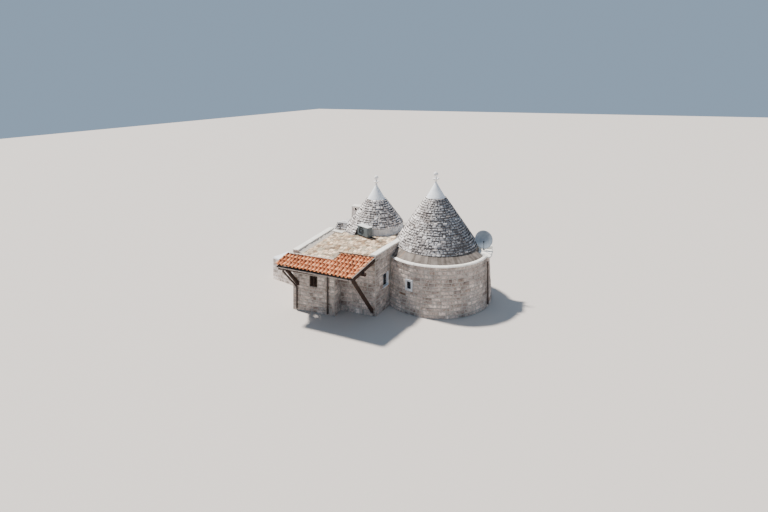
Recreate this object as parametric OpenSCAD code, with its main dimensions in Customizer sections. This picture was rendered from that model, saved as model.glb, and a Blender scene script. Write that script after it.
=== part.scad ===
// Trullo house: a round dry-stone cell under a tall stone cone, a flat-roofed block with a
// tiled lean-to canopy, and a second, smaller cone behind it.
// Plan axes: +X runs along the facade of the flat-roofed block, +Y goes into the house.
// Places in plan are measured from a point on the facade line, beside its middle downpipe.

/* [Main trullo] */
// Axis of the main cone, along the facade
main_x = 3750; // [3600:10:3900]
// Axis of the main cone, behind the facade
main_y = 3850; // [3750:10:3950]
// Outer radius of the round wall at the ground
drum_r = 2600; // [2450:10:2700]
// Inward lean of the round wall's face, foot to top
drum_batter = 110; // [60:5:140]
// Height of the round wall up to the coping
drum_h = 2160; // [2000:10:2240]
// Outer radius of the round wall at the back, where it is thinner
drum_back_r = 2200; // [2120:10:2300]
// Inner radius of the round room
main_room_r = 1650; // [1500:10:1750]
// Direction in which the thick front part ends, on the right
drum_end_angle = 16; // [10:1:24]
// Height from the round wall's top to the foot of the cone
ledge_h = 280; // [240:5:300]
// Radius of the main cone at its foot
cone_r = 1965; // [1880:5:2020]
// Height of the main cone from its foot to its apex
cone_h = 2829; // [2600:10:3100]
// Radius at which the plastered shoulder under the main cone meets the level ledge
shoulder_r = 2340; // [2250:10:2400]
// Thickness of the coping slabs on the round wall
main_coping_t = 60; // [40:5:100]
// Height of one course of roof stones
course_h = 94; // [80:1:120]

/* [Rear trullo] */
// Axis of the rear cone, along the facade
rear_x = 310; // [250:10:380]
// How far the rear cone's axis stands behind the block's back
rear_set = 1250; // [1200:10:1350]
// Outer radius of the rear round wall
rear_wall_r = 1850; // [1800:10:1950]
// Inner radius of the rear room
rear_room_r = 1150; // [1050:10:1200]
// Radius of the plastered ring under the rear cone
rear_ring_r = 1400; // [1360:5:1450]
// Height of the plastered ring under the rear cone
rear_ring_h = 330; // [250:10:400]
// Radius of the rear cone at its foot
rear_cone_r = 1390; // [1300:5:1400]
// Height of the rear cone from its foot to its apex
rear_cone_h = 1830; // [1700:10:2000]

/* [Flat-roofed block] */
// Facade length left of the middle downpipe
front_left_w = 1800; // [1700:5:1860]
// Facade length right of that pipe
front_right_w = 1911; // [1850:1:1960]
// Where the facade steps back, right of that pipe
step_x = 250; // [200:5:320]
// How far the right part of the facade stands back
step_d = 600; // [500:10:700]
// Depth of the block along its left side
block_d = 3500; // [3400:10:3600]
// Thickness of the block's walls
wall_t = 450; // [400:10:500]
// Direction of the right side wall, from the facade line
right_wall_angle = 81; // [79:0.5:83]
// Height of the flat roof's surface
roof_z = 2500; // [2480:10:2560]
// Thickness of the flat roof
roof_t = 200; // [150:10:220]
// Height of the parapets without their coping
parapet_z = 2605; // [2590:5:2700]
// Thickness of the parapets' coping stones
coping_t = 65; // [50:5:100]
// Width of the parapet's coping stones
coping_w = 280; // [220:10:320]
// Overhang of the coping stones
coping_lip = 20; // [0:5:40]
// Open joint between two coping stones
coping_joint = 6; // [3:1:10]

/* [Canopy] */
// Slope of the tiled canopy, in degrees
canopy_pitch = 8.4; // [6:0.2:10]
// Height of the tiles' crowns over the facade line
canopy_z = 2522; // [2500:1:2560]
// Reach of the canopy in front of the facade line, at its right end
canopy_reach = 1190; // [1100:10:1300]
// Turn of the eave, which comes nearer to the facade at its left end, in degrees
eave_turn = 3.2; // [0:0.1:4]
// Height of the verge boards
verge_h = 150; // [120:5:180]
// How far the canopy runs past the block's left corner
canopy_left = 200; // [150:5:300]
// Width that one row of barrel tiles takes
tile_pitch = 190; // [170:5:220]
// Crown radius of a barrel tile
tile_r = 78; // [60:1:84]
// Thickness of the boards under the tiles
deck_t = 25; // [20:1:40]
// Side of a rafter
rafter_w = 80; // [60:5:100]
// Number of rafters
rafter_count = 6; // [4:1:8]
// Side of the eave beam and of the struts
beam_w = 115; // [90:5:140]
// Distance of the eave beam from the facade line
beam_y = 880; // [800:10:900]
// Height of the left strut's foot
strut_left_foot = 1165; // [900:5:1300]
// How far the left strut stands in from the block's left corner
strut_inset = 255; // [200:5:320]
// Height of the right strut's foot
strut_right_foot = 230; // [150:10:500]
// How far the right strut stands in from the front corner
strut_right_inset = 150; // [100:5:220]
// Distance between the eave beam and the upper beam
beam_span = 460; // [400:10:600]
// How far the upper beam runs out past the right verge
beam_end = 150; // [80:5:180]
// Radius of the gutter
gutter_r = 60; // [45:1:80]
// Thickness of the gutter's sheet
gutter_t = 4; // [3:1:8]
// Radius of the downpipes
pipe_r = 40; // [30:1:50]

/* [Openings] */
// Width of the facade window
window1_w = 385; // [350:5:450]
// Height of the facade window
window1_h = 475; // [400:5:520]
// Sill height of the facade window
window1_z = 1135; // [1050:5:1200]
// Centre of the facade window, left of the middle downpipe
window1_x = 775; // [700:5:850]
// Width of the side window
window2_w = 500; // [400:5:520]
// Height of the side window
window2_h = 600; // [500:5:650]
// Sill height of the side window
window2_z = 1000; // [950:5:1100]
// Distance of the side window from the front corner, along the wall
window2_at = 660; // [560:5:700]
// Width of the round wall's window
window3_w = 200; // [180:5:260]
// Height of the round wall's window
window3_h = 330; // [300:5:380]
// Sill height of the round wall's window
window3_z = 1090; // [1000:5:1200]
// Direction of the round wall's window from the main axis
window3_angle = -103; // [-106:0.5:-100]
// Width of the plaster band round that window
window3_band = 75; // [50:5:90]
// Depth at which the side window's casement stands
window2_reveal = 130; // [100:5:180]
// Width of the rear cell's doorways
door_w = 850; // [800:10:900]
// Width of the passage into the round room
passage_w = 600; // [550:10:620]
// Height of the doorways
door_h = 1900; // [1850:10:1950]

/* [Chimney and fittings] */
// Width of the chimney's head
chimney_w = 690; // [600:10:720]
// Depth of the chimney's head
chimney_d = 450; // [400:10:500]
// Height of the chimney's top above the ground
chimney_z = 3300; // [3200:10:3400]
// Height of the openings in the chimney's head
flue_h = 170; // [140:5:200]
// Width of the piers between those openings
flue_pier = 95; // [80:5:110]
// Thickness of the slab over them
flue_slab = 85; // [70:5:100]
// Width of the masonry beside the rear cell
bay_w = 140; // [100:10:200]
// Depth of the masonry beside the rear cell, behind the block
bay_d = 2590; // [2500:10:2650]
// Height of that masonry
bay_h = 2400; // [2350:10:2420]
// Number of layers of the stepped roof above the flat one
step_count = 4; // [3:1:4]
// How far each of those layers stands back
step_in = 30; // [20:5:50]
// How far the stepped roof's corner stands behind the block
steps_at = 290; // [250:10:350]
// Directions between which stones run down over the rear ring, from the rear axis
skirt_from = 165; // [160:1:175]
skirt_to = 250; // [240:1:260]
// Diameter of the dish
dish_d = 820; // [700:10:850]
// Width of the outdoor air unit
unit_w = 800; // [750:10:850]
// Depth of the outdoor air unit
unit_d = 300; // [280:10:340]
// Height of the outdoor air unit
unit_h = 490; // [430:10:560]

/* [Low annex] */
// Length of the low block left of the house
annex_w = 2855; // [2700:5:3100]
// Width of that block
annex_d = 1000; // [900:10:1200]
// How far its front meets the left wall behind the facade line
annex_y = 1735; // [1600:5:1800]
// How far it turns back from the facade's direction, in degrees
annex_turn = 16; // [12:1:20]
// Height of the block
annex_h = 1120; // [900:10:1250]
// Thickness of its walls
annex_t = 200; // [150:10:250]
// Thickness of its slab
annex_roof_t = 80; // [60:5:120]

/* [Hidden] */
$fn = 240;
big = 12000;
// How far a cut runs past the face that it opens
past = 10;
// Open joint between two wedges of a round piece, in degrees
sector_gap = 0.06;
// Open joint between two flat pieces
flat_joint = 3;

// Ground plan of the whole house, from which its middle is found
main_c = [main_x, main_y];
rear_y = block_d + rear_set;
rear_c = [rear_x, rear_y];
pipe_gap = 15;
pipe_stand = pipe_r + pipe_gap;
pipe3_angle = -15;
gutter_out = gutter_r * 0.4;
x_low = -front_left_w - annex_w * cos(annex_turn);
// The dish on its pole or the slabs of the level end reach farthest to the right
dish_angle = 9;
dish_turn = 9;
dish_tilt = 72;
dish_depth = 75;
pole_r = 25;
pole_h = 490;
pole_set = 280;
coping_main_r = drum_r - drum_batter + 2 * coping_lip;
pole_at = coping_main_r - pole_set;
dish_aside = sin(dish_turn) * sin(dish_tilt);
dish_x = main_x + pole_at * cos(dish_angle) + dish_depth * dish_aside;
dish_high = dish_x + dish_d / 2 * sqrt(1 - pow(dish_aside, 2));
level_r = coping_main_r + 120;
x_high = max(dish_high, main_x + level_r);
y_low = -canopy_reach - (gutter_out + gutter_r) * cos(eave_turn);
y_high = rear_y + rear_wall_r;
mid = [(x_low + x_high) / 2, (y_low + y_high) / 2];

// Heights of the main trullo
cone_z = drum_h + ledge_h;
ledge_z = drum_h + main_coping_t;
main_cap_r = 450;
main_top_r = main_cap_r - 10;
main_courses = round(cone_h * (1 - main_top_r / cone_r) / course_h);
main_cap_z = cone_z + main_courses * course_h;
main_slope = cone_r / cone_h;
main_cup_r = 171;
main_ball_r = 113;
rear_cup_r = 165;
rear_ball_r = 105;
// Heights of the rear trullo
rear_foot_z = roof_z + rear_ring_h;
rear_cap_r = 450;
rear_courses = round(rear_cone_h * (1 - rear_cap_r / rear_cone_r) / course_h);
rear_cap_z = rear_foot_z + rear_courses * course_h;
rear_slope = rear_cone_r / rear_cone_h;

// Corner where the facade meets the right side wall, and that wall's direction
corner = [front_right_w, step_d];
along = [cos(right_wall_angle), sin(right_wall_angle)];
// Canopy plane: its crowns, boards and timbers, measured down from the tiles' crowns
tile_h = tile_r;
pan_t = 14;
deck_top = -(tile_h + pan_t);
rafter_top = deck_top - deck_t;
beam_top = rafter_top - rafter_w;
function canopy_at(y) = canopy_z + y * tan(canopy_pitch);
function slope_y(y) = y / cos(canopy_pitch);
verge_low = corner - along * ((step_d + canopy_reach) / along[1]);
// The eave's line in plan, and the same on the tiles' plane at a distance behind it
function eave_at(x) = -canopy_reach + (verge_low[0] - x) * tan(eave_turn);
function low_at(x, inset) = slope_y(eave_at(x) + inset);
// Outer edge of the right verge, on the tiles' plane
function verge_x(y) = corner[0] + (y * cos(canopy_pitch) - step_d) / tan(right_wall_angle);

// Colours of the bare solids
wall_stone = [0.60, 0.56, 0.52];
roof_stone = [0.70, 0.69, 0.68];
lime = [0.93, 0.92, 0.88];
plaster = [0.62, 0.58, 0.52];
paving = [0.78, 0.71, 0.60];
terracotta = [0.76, 0.42, 0.27];
timber = [0.20, 0.13, 0.10];
metal_grey = [0.72, 0.75, 0.76];

// Solids turned between two directions round an axis; the child is their half outline
module sector(c, from, to) {
    translate([c[0], c[1], 0]) rotate([0, 0, from]) rotate_extrude(angle = to - from) children();
}
module wedges(c, from, to, count) {
    step = (to - from) / count;
    for (i = [0 : count - 1]) sector(c, from + i * step, from + (i + 1) * step - sector_gap) children();
}
module about(c, angle) { translate([c[0], c[1], 0]) rotate([0, 0, angle]) children(); }

// Everything on the block's side of the right wall's outer face
module block_side() {
    translate([corner[0], corner[1], -past]) rotate([0, 0, right_wall_angle - 90])
        translate([-big, -big / 2, 0]) cube([big, big, big]);
}

// Outline of the thick front wall, under its coping and ledge
module drum_profile() {
    polygon([[main_room_r, 0], [drum_r, 0], [drum_r - drum_batter, drum_h], [main_room_r, drum_h]]);
}
module drum_back_profile() {
    polygon([[main_room_r, 0], [drum_back_r, 0], [drum_back_r - drum_batter, drum_h],
             [main_room_r, drum_h]]);
}
// Outline of the wall where it stands inside the block: the flat roof bears on its shelf
shelf_lip = 25;
wall_z = roof_z - roof_t;
module inner_profile() {
    polygon([[main_room_r, 0], [drum_back_r, 0], [drum_back_r, wall_z],
             [cone_r + shelf_lip, wall_z], [cone_r, cone_z], [main_room_r, cone_z]]);
}
module ledge_profile(r_out) {
    polygon([[main_room_r, drum_h], [r_out, drum_h], [r_out, ledge_z], [cone_r, cone_z],
             [main_room_r, cone_z]]);
}
// Outline of the rear cell's wall
module rear_profile() {
    polygon([[rear_room_r, 0], [rear_wall_r, 0], [rear_wall_r, roof_z], [rear_room_r, roof_z]]);
}

// Directions, seen from the main axis, between which the rear cell's wall meets the main wall
to_rear = atan2(rear_y - main_y, rear_x - main_x);
apart = norm(main_c - rear_c);
meet_half = acos((pow(drum_back_r, 2) + pow(apart, 2) - pow(rear_wall_r, 2)) / (2 * drum_back_r * apart));
back_to = to_rear - meet_half + 1;
// Direction where the right wall's inner face meets the main wall
inner_face = corner + wall_t * [-along[1], along[0]];
face_off = (main_c - inner_face) * [along[1], -along[0]];
face_half = acos(face_off / drum_back_r);
face_meet = right_wall_angle - 90 + 180 + face_half;
// The passage goes through the middle of the arc that is free between them
passage_a = (to_rear + meet_half + face_meet) / 2;
rear_passage_a = -90;
door_a = 90;

front_from = -142;
module main_wall_front() {
    color(wall_stone) difference() {
        wedges(main_c, front_from, drum_end_angle, 6) drum_profile();
        block_side();
        window3_hole();
        about(main_c, window3_angle) window3_seat(drum_r);
    }
}
module main_wall_back() {
    color(wall_stone) wedges(main_c, drum_end_angle, back_to, 5) drum_back_profile();
}
// Vertical cut of a passage through a round wall
module passage(c, angle, r_in, r_out, width, z0, height) {
    spare = 300;
    about(c, angle) translate([r_in - spare, -width / 2, z0])
        cube([r_out - r_in + 2 * spare, width, height]);
}
module main_wall_inner() {
    color(wall_stone) difference() {
        union() {
            wedges(main_c, back_to, passage_a, 2) inner_profile();
            sector(main_c, passage_a, 360 + front_from) inner_profile();
        }
        passage(main_c, passage_a, main_room_r, drum_back_r, passage_w, -past, big);
    }
}
// Masonry over the passage into the round room and over both doorways of the rear cell
module doorway_lintels() {
    half = 30;
    color(wall_stone) {
        intersection() {
            sector(main_c, passage_a - half, passage_a + half) inner_profile();
            passage(main_c, passage_a, main_room_r, drum_back_r, passage_w, door_h, big);
        }
        for (a = [rear_passage_a, door_a])
            intersection() {
                sector(rear_c, a - 1.5 * half, a + 1.5 * half) rear_profile();
                passage(rear_c, a, rear_room_r, rear_wall_r, door_w, door_h, big);
            }
    }
}

// Coping slabs along the thick front wall, which are its ledge. The last ones reach in to the
// cone's foot and farther out, and a kerb of the same stone lies across their end.
coping_count = 18;
level_count = 3;
coping_step = (drum_end_angle - front_from) / coping_count;
level_from = drum_end_angle - level_count * coping_step;
riser_r = cone_r + shelf_lip;
kerb_w = 120;
kerb_h = 75;
module coping_profile(inner, outer) {
    arris = 10;
    polygon([[inner, drum_h], [outer, drum_h], [outer, ledge_z - arris], [outer - arris, ledge_z],
             [inner, ledge_z]]);
}
module main_coping() {
    end_gap = atan(coping_joint / coping_main_r);
    kerb_from = drum_end_angle - kerb_w / level_r * 180 / PI;
    color(lime) {
        difference() {
            for (i = [0 : coping_count - 1]) let (level = i >= coping_count - level_count)
                sector(main_c, front_from + i * coping_step, front_from + (i + 1) * coping_step - end_gap)
                    coping_profile((level ? riser_r : shoulder_r) + coping_joint, level ? level_r : coping_main_r);
            block_side();
        }
        sector(main_c, kerb_from, drum_end_angle - end_gap)
            translate([riser_r + coping_joint, ledge_z]) square([level_r - riser_r - coping_joint, kerb_h]);
    }
}
// Plastered shoulder between the ledge and the cone's foot
module main_ledge() {
    color(plaster) {
        difference() {
            wedges(main_c, front_from, level_from, 8) ledge_profile(shoulder_r);
            block_side();
        }
        wedges(main_c, level_from, drum_end_angle, 2)
            translate([main_room_r, drum_h]) square([riser_r - main_room_r, ledge_h]);
        wedges(main_c, drum_end_angle, back_to, 6) ledge_profile(drum_back_r - drum_batter);
    }
}

// Half outline of a stepped dry-stone cone: each course stands back from the one below, and
// the chamber inside closes by corbelling
vault = 0.86;
module cone_profile(r, height, courses, z, inner_r) {
    lean = 8;
    outer = [for (i = [0 : courses - 1]) let (ri = r - i * course_h * r / height)
        each [[ri, z + i * course_h], [ri - lean, z + (i + 1) * course_h]]];
    inner_top = inner_r * (1 - courses * course_h / (height * vault));
    polygon(concat(outer, [[inner_top, z + courses * course_h], [inner_r, z]]));
}
cone_wedges = 12;
module main_cone() {
    color(roof_stone) wedges(main_c, 0, 360, cone_wedges, $fn = 96)
        cone_profile(cone_r, cone_h, main_courses, cone_z, main_room_r);
}

// Half outline of the limewashed cap: a cone that draws in to a neck under the finial
cap_slope = 0.61;
neck_r = 48;
cap_top_r = 2 * neck_r;
cap_edge = 35;
neck_h = 120;
function cap_h(r) = cap_edge + (r - cap_top_r) / cap_slope;
module cap_profile(r) {
    polygon([[0, 0], [r, 0], [r - cap_edge * cap_slope / 2, cap_edge],
             [cap_top_r + (r - cap_top_r) * 0.47, cap_edge + (cap_h(r) - cap_edge) * 0.5],
             [cap_top_r, cap_h(r)], [neck_r * 1.2, cap_h(r) + neck_h * 0.6],
             [neck_r, cap_h(r) + neck_h], [0, cap_h(r) + neck_h]]);
}
module cap(r) { color(lime) rotate_extrude($fn = 96) cap_profile(r); }
// Finial on a cap: an upturned cup, a stem and a ball
cup_base = 60;
cup_h = 165;
stem_h = 90;
module pinnacle(cup_r, ball_r) {
    $fn = 48;
    ball_z = cup_h + stem_h + ball_r;
    color(lime) {
        rotate_extrude() polygon([
            [0, 0], [neck_r, 0], [neck_r, cup_base], [cup_r * 0.45, cup_h * 0.5],
            [cup_r * 0.8, cup_h * 0.75], [cup_r, cup_h], [cup_r * 0.9, cup_h],
            [cup_r * 0.5, cup_h * 0.8], [neck_r, cup_h * 0.75], [neck_r, ball_z - ball_r * 0.8],
            [0, ball_z - ball_r * 0.8]]);
        translate([0, 0, ball_z]) sphere(r = ball_r);
    }
}
module main_cap() { translate([main_x, main_y, main_cap_z]) cap(main_cap_r); }
module main_pinnacle() {
    translate([main_x, main_y, main_cap_z + cap_h(main_cap_r) + neck_h]) pinnacle(main_cup_r, main_ball_r);
}

// Rear trullo
// The main wall stands where the two round walls meet
module main_body() {
    translate([main_x, main_y, -past]) cylinder(h = big, r = drum_back_r);
}
module rear_doorways() {
    for (a = [rear_passage_a, door_a])
        passage(rear_c, a, rear_room_r, rear_wall_r, door_w, -past, big);
}
module rear_wall_left() {
    color(wall_stone) difference() {
        wedges(rear_c, door_a, rear_passage_a + 360, 6) rear_profile();
        rear_doorways();
    }
}
module rear_wall_right() {
    color(wall_stone) difference() {
        wedges(rear_c, rear_passage_a, door_a, 6) rear_profile();
        rear_doorways();
        main_body();
    }
}
module rear_ring() {
    color(plaster) wedges(rear_c, 0, 360, 12)
        translate([rear_room_r, roof_z]) square([rear_ring_r - rear_room_r, rear_ring_h]);
}
module rear_cone() {
    color(roof_stone) wedges(rear_c, 0, 360, cone_wedges, $fn = 96)
        cone_profile(rear_cone_r, rear_cone_h, rear_courses, rear_foot_z, rear_room_r);
}
module rear_cap() { translate([rear_x, rear_y, rear_cap_z]) cap(rear_cap_r); }
module rear_pinnacle() {
    translate([rear_x, rear_y, rear_cap_z + cap_h(rear_cap_r) + neck_h]) pinnacle(rear_cup_r, rear_ball_r);
}

// Walls of the flat-roofed block
left_x = -front_left_w;
parapet_t = coping_w - coping_lip;
module wall_box(x0, y0, x1, y1, z1) { translate([x0, y0, 0]) cube([x1 - x0, y1 - y0, z1]); }
module front_wall_left() {
    color(wall_stone) difference() {
        union() {
            wall_box(left_x, 0, step_x, wall_t, wall_z);
            wall_box(step_x - wall_t, wall_t, step_x, step_d, wall_z);
        }
        window1_hole();
    }
}
module front_wall_right() {
    color(wall_stone) difference() {
        wall_box(step_x - wall_t, step_d, front_right_w + wall_t, step_d + wall_t, wall_z);
        right_wall_zone(wall_t, wall_t * 4);
    }
}
module left_wall() {
    color(wall_stone) {
        wall_box(left_x, wall_t, left_x + wall_t, block_d, wall_z);
        translate([left_x, 0, wall_z]) cube([parapet_t, block_d, parapet_z - wall_z]);
    }
}
// What the rear cell's wall takes up
module rear_body() { translate([rear_x, rear_y, -past]) cylinder(h = big, r = rear_wall_r); }
module back_wall() {
    color(wall_stone) difference() {
        wall_box(left_x + wall_t, block_d - wall_t, rear_x, block_d, wall_z);
        rear_body();
    }
}
// Strip along the right wall's line, from a face of the given thickness outwards
module right_wall_zone(thick, width) {
    translate([corner[0], corner[1], -past]) rotate([0, 0, right_wall_angle - 90])
        translate([-thick, -wall_t, 0]) cube([width, big / 2, big]);
}
module right_wall() {
    $fn = 600;
    color(wall_stone) difference() {
        union() {
            intersection() {
                right_wall_zone(wall_t, wall_t);
                translate([0, step_d, 0]) cube([big, main_y - step_d, wall_z]);
            }
            intersection() {
                right_wall_zone(parapet_t, parapet_t);
                translate([0, step_d, wall_z]) cube([big, main_y - step_d, parapet_z - wall_z]);
            }
        }
        translate([main_x, main_y, -past]) cylinder(h = wall_z + past, r = drum_back_r);
        main_body_above();
        window2_hole();
    }
}
// The main cell's roof and all inside its foot, where the block's pieces stop
module main_body_above() {
    up = parapet_z + 2 * coping_t - cone_z;
    translate([main_x, main_y, 0]) rotate_extrude()
        polygon([[0, wall_z - past], [cone_r + shelf_lip, wall_z - past], [cone_r + shelf_lip, wall_z],
                 [cone_r, cone_z], [cone_r - up * main_slope, cone_z + up], [0, cone_z + up]]);
}

module window1_hole() {
    translate([-window1_x - window1_w / 2, -past, window1_z])
        cube([window1_w, wall_t + 2 * past, window1_h]);
}
module on_right_wall() {
    translate([corner[0], corner[1], 0]) rotate([0, 0, right_wall_angle]) children();
}
module window2_hole() {
    on_right_wall() translate([window2_at, -past, window2_z])
        cube([window2_w, wall_t + 2 * past, window2_h]);
}
module window3_hole() {
    passage(main_c, window3_angle, main_room_r, drum_r, window3_w, window3_z, window3_h);
}

// Masonry beside the rear cell, which carries the stepped roof and the chimney
bay_x = rear_x - rear_wall_r - bay_w;
module hearth_bay() {
    color(wall_stone) difference() {
        union() {
            wall_box(bay_x, block_d, rear_x, rear_y - flat_joint, bay_h);
            wall_box(bay_x, rear_y, rear_x, block_d + bay_d, bay_h);
        }
        rear_body();
    }
}
// Stepped roof of stone slabs over that masonry, and the stones that run down over the
// plastered ring beside it in the same courses. The lowest layer is level with the flat roof.
steps_turn = 22;
module step_layer(i, z0, z1) {
    deep = bay_d - chimney_d - steps_at;
    at = i * step_in;
    translate([bay_x, block_d + steps_at, z0]) linear_extrude(z1 - z0)
        polygon([[at, at], [rear_x - bay_x, at], [rear_x - bay_x, deep], [at + deep * tan(steps_turn), deep]]);
}
module stepped_roof() {
    color(roof_stone) {
        difference() {
            step_layer(0, bay_h, roof_z);
            translate([rear_x, rear_y, 0]) cylinder(h = big, r = rear_wall_r + coping_joint);
        }
        for (i = [1 : step_count]) difference() {
            step_layer(step_count + 1 - i, max(roof_z, rear_foot_z - i * course_h), rear_foot_z - (i - 1) * course_h);
            translate([rear_x, rear_y, 0])
                cylinder(h = big, r = skirt_r(min(i + 1, step_count)) + coping_joint);
        }
        wedges(rear_c, skirt_from, skirt_to, 3) skirt_profile();
    }
}
function skirt_r(i) = rear_cone_r + i * course_h * rear_slope + flat_joint;
module skirt_profile() {
    lean = 8;
    inner = rear_ring_r + coping_joint;
    polygon([[inner, roof_z],
             for (i = [step_count : -1 : 1]) each [
                 [skirt_r(i), max(roof_z, rear_foot_z - i * course_h)],
                 [skirt_r(i) - lean, rear_foot_z - (i - 1) * course_h]],
             [inner, rear_foot_z]]);
}

// Flat roof of stone slabs over the block, in three fields, cut round both cells
module flat_roof() {
    field_end = 200;
    split = rear_x + rear_ring_r - field_end;
    color(paving) difference() {
        translate([0, 0, wall_z]) {
            translate([left_x + parapet_t, 0, 0])
                cube([step_x - left_x - parapet_t - flat_joint, block_d, roof_t]);
            translate([step_x, step_d, 0]) cube([split - step_x - flat_joint, block_d - step_d, roof_t]);
            translate([split, step_d, 0]) cube([corner[0] - split + wall_t * 2, main_y - step_d, roof_t]);
        }
        main_body_above();
        rear_body();
        right_wall_zone(parapet_t, wall_t * 4);
    }
}

// Coping stones on the block's parapets, with open joints between them
module coping_run(length, count) {
    step = length / count;
    edge = 8;
    for (i = [0 : count - 1])
        translate([i * step, 0, 0]) rotate([90, 0, 90]) linear_extrude(step - coping_joint)
            polygon([[0, 0], [coping_w, 0], [coping_w, coping_t - edge], [coping_w - edge, coping_t],
                     [edge, coping_t], [0, coping_t - edge]]);
}
module block_coping() {
    color(lime) {
        translate([left_x - coping_lip + coping_w, 0, parapet_z]) rotate([0, 0, 90])
            coping_run(block_d + coping_lip, 5);
        difference() {
            translate([corner[0], corner[1], parapet_z]) rotate([0, 0, right_wall_angle])
                translate([0, -coping_lip, 0]) coping_run(main_y - step_d, 5);
            main_body_above();
        }
    }
}
// Low parapet over the back wall, which falls to the roof before it reaches the rear cell
parapet_end = 45;
parapet_run = 150;
module back_parapet() {
    fall_x = rear_x - rear_ring_r + parapet_run;
    color(wall_stone) translate([0, block_d - coping_w, 0]) rotate([90, 0, 0]) mirror([0, 0, 1])
        linear_extrude(coping_w) polygon([
            [left_x + parapet_t, roof_z], [fall_x, roof_z], [fall_x, roof_z + parapet_end],
            [left_x + parapet_t, parapet_z]]);
}

// Canopy frame: children are drawn on the sloping plane of the tiles' crowns
module on_canopy() { translate([0, 0, canopy_z]) rotate([canopy_pitch, 0, 0]) children(); }
// Plan of the canopy on that plane, from a distance behind the eave up to the walls' faces; a
// layer that lies deeper ends sooner, because the faces are upright
canopy_x = left_x - canopy_left;
module canopy_plan(inset, depth, side = 0, split = 1) {
    up = depth * tan(canopy_pitch);
    left = canopy_x + side;
    low = low_at(verge_low[0], inset);
    high = slope_y(step_d) - up;
    polygon([[left, low_at(left, inset)], [step_x - split, low_at(step_x - split, inset)],
             [step_x - split, -up], [left, -up]]);
    polygon([[step_x + split, low_at(step_x + split, inset)], [verge_x(low) - side, low],
             [verge_x(high) - side, high], [step_x + split, high]]);
}
// Barrel tiles in rows down the slope, in two fields that meet at the facade's step
module canopy_tiles() {
    rows = ceil((front_left_w + canopy_left + front_right_w) / tile_pitch);
    color(terracotta) on_canopy() intersection() {
        union() {
            translate([canopy_x, -big / 4, deck_top])
                cube([rows * tile_pitch, big / 2, pan_t]);
            for (i = [0 : rows - 1])
                translate([canopy_x + (i + 0.5) * tile_pitch, big / 4, -tile_h])
                    rotate([90, 0, 0]) cylinder(h = big / 2, r = tile_r);
        }
        translate([0, 0, deck_top]) linear_extrude(-deck_top) canopy_plan(0, -deck_top);
    }
}
// Distance behind the eave where the boards and the timbers end, clear of the gutter
timber_in = gutter_r - gutter_out + coping_joint;
verge_t = 30;
module canopy_boards() {
    color(timber) on_canopy() translate([0, 0, rafter_top]) linear_extrude(deck_t)
        canopy_plan(timber_in, -rafter_top, verge_t);
}
// Boards along both sloping edges, under the tiles; the upper beam comes through the right one
module canopy_verges() {
    thick = verge_t - 1;
    up = (verge_h - deck_top) * tan(canopy_pitch);
    high = slope_y(step_d) - up;
    left_low = low_at(canopy_x, timber_in);
    right_low = low_at(verge_low[0], timber_in);
    color(timber) difference() {
        on_canopy() translate([0, 0, deck_top - verge_h]) linear_extrude(verge_h) {
            translate([canopy_x, left_low]) square([thick, -left_low - up]);
            polygon([[verge_x(right_low) - thick, right_low], [verge_x(right_low), right_low],
                     [verge_x(high), high], [verge_x(high) - thick, high]]);
        }
        upper_beam(flat_joint);
    }
}
module canopy_rafters() {
    x0 = canopy_x + verge_t + rafter_w;
    x1 = verge_low[0] - verge_t - 2 * rafter_w;
    color(timber) on_canopy()
        for (i = [0 : rafter_count - 1])
            let (x = x0 + i * (x1 - x0) / (rafter_count - 1), back = x > step_x ? step_d : 0,
                 low = low_at(x, timber_in))
                translate([x, low, beam_top])
                    cube([rafter_w, slope_y(back) + beam_top * tan(canopy_pitch) - low, rafter_w]);
}
// Level beams under the rafters: one at the eave, carried by the struts, and one half way
beam_x0 = canopy_x + verge_t + flat_joint;
function beam_z(y) = canopy_at(y) + (beam_top - flat_joint) / cos(canopy_pitch);
module canopy_beam(y, length, gap = 0) {
    rise = beam_w / 2 * tan(canopy_pitch);
    translate([beam_x0, y, beam_z(y)]) rotate([90, 0, 90]) linear_extrude(length)
        polygon([[-beam_w / 2 - gap, -beam_w - gap], [beam_w / 2 + gap, -beam_w - gap],
                 [beam_w / 2 + gap, rise + gap], [-beam_w / 2 - gap, gap - rise]]);
}
module upper_beam(gap = 0) {
    y = beam_span - beam_y;
    canopy_beam(y, verge_x(slope_y(y)) - beam_x0 + beam_end, gap);
}
module canopy_beams() {
    color(timber) {
        canopy_beam(-beam_y, verge_x(slope_y(-beam_y)) - beam_x0 - 2 * verge_t);
        upper_beam();
    }
}
// Slanting strut from a foot on the wall to the underside of the eave beam
module strut(foot, head) {
    run = norm([head[0] - foot[0], head[1] - foot[1]]);
    rise = head[2] - foot[2];
    lean = atan2(rise, run);
    up = beam_w / cos(lean) / 2;
    across = beam_w / sin(lean) / 2;
    turn = atan2(head[1] - foot[1], head[0] - foot[0]);
    translate([foot[0], foot[1], 0]) rotate([0, 0, turn]) rotate([90, 0, 0])
        translate([0, 0, -beam_w / 2]) linear_extrude(beam_w)
            polygon([[0, foot[2] - up], [run + across, head[2]], [run - across, head[2]],
                     [0, foot[2] + up]]);
}
strut_x = left_x + strut_inset;
module canopy_struts() {
    head_z = beam_z(-beam_y) - beam_w;
    foot_x = front_right_w - strut_right_inset;
    skew = (step_d + beam_y) / tan(right_wall_angle);
    color(timber) {
        strut([strut_x, 0, strut_left_foot], [strut_x, -beam_y, head_z]);
        difference() {
            strut([foot_x, step_d, strut_right_foot], [foot_x - skew, -beam_y, head_z]);
            translate([0, step_d, -past]) cube([big / 4, big / 4, big / 4]);
        }
    }
}
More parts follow.
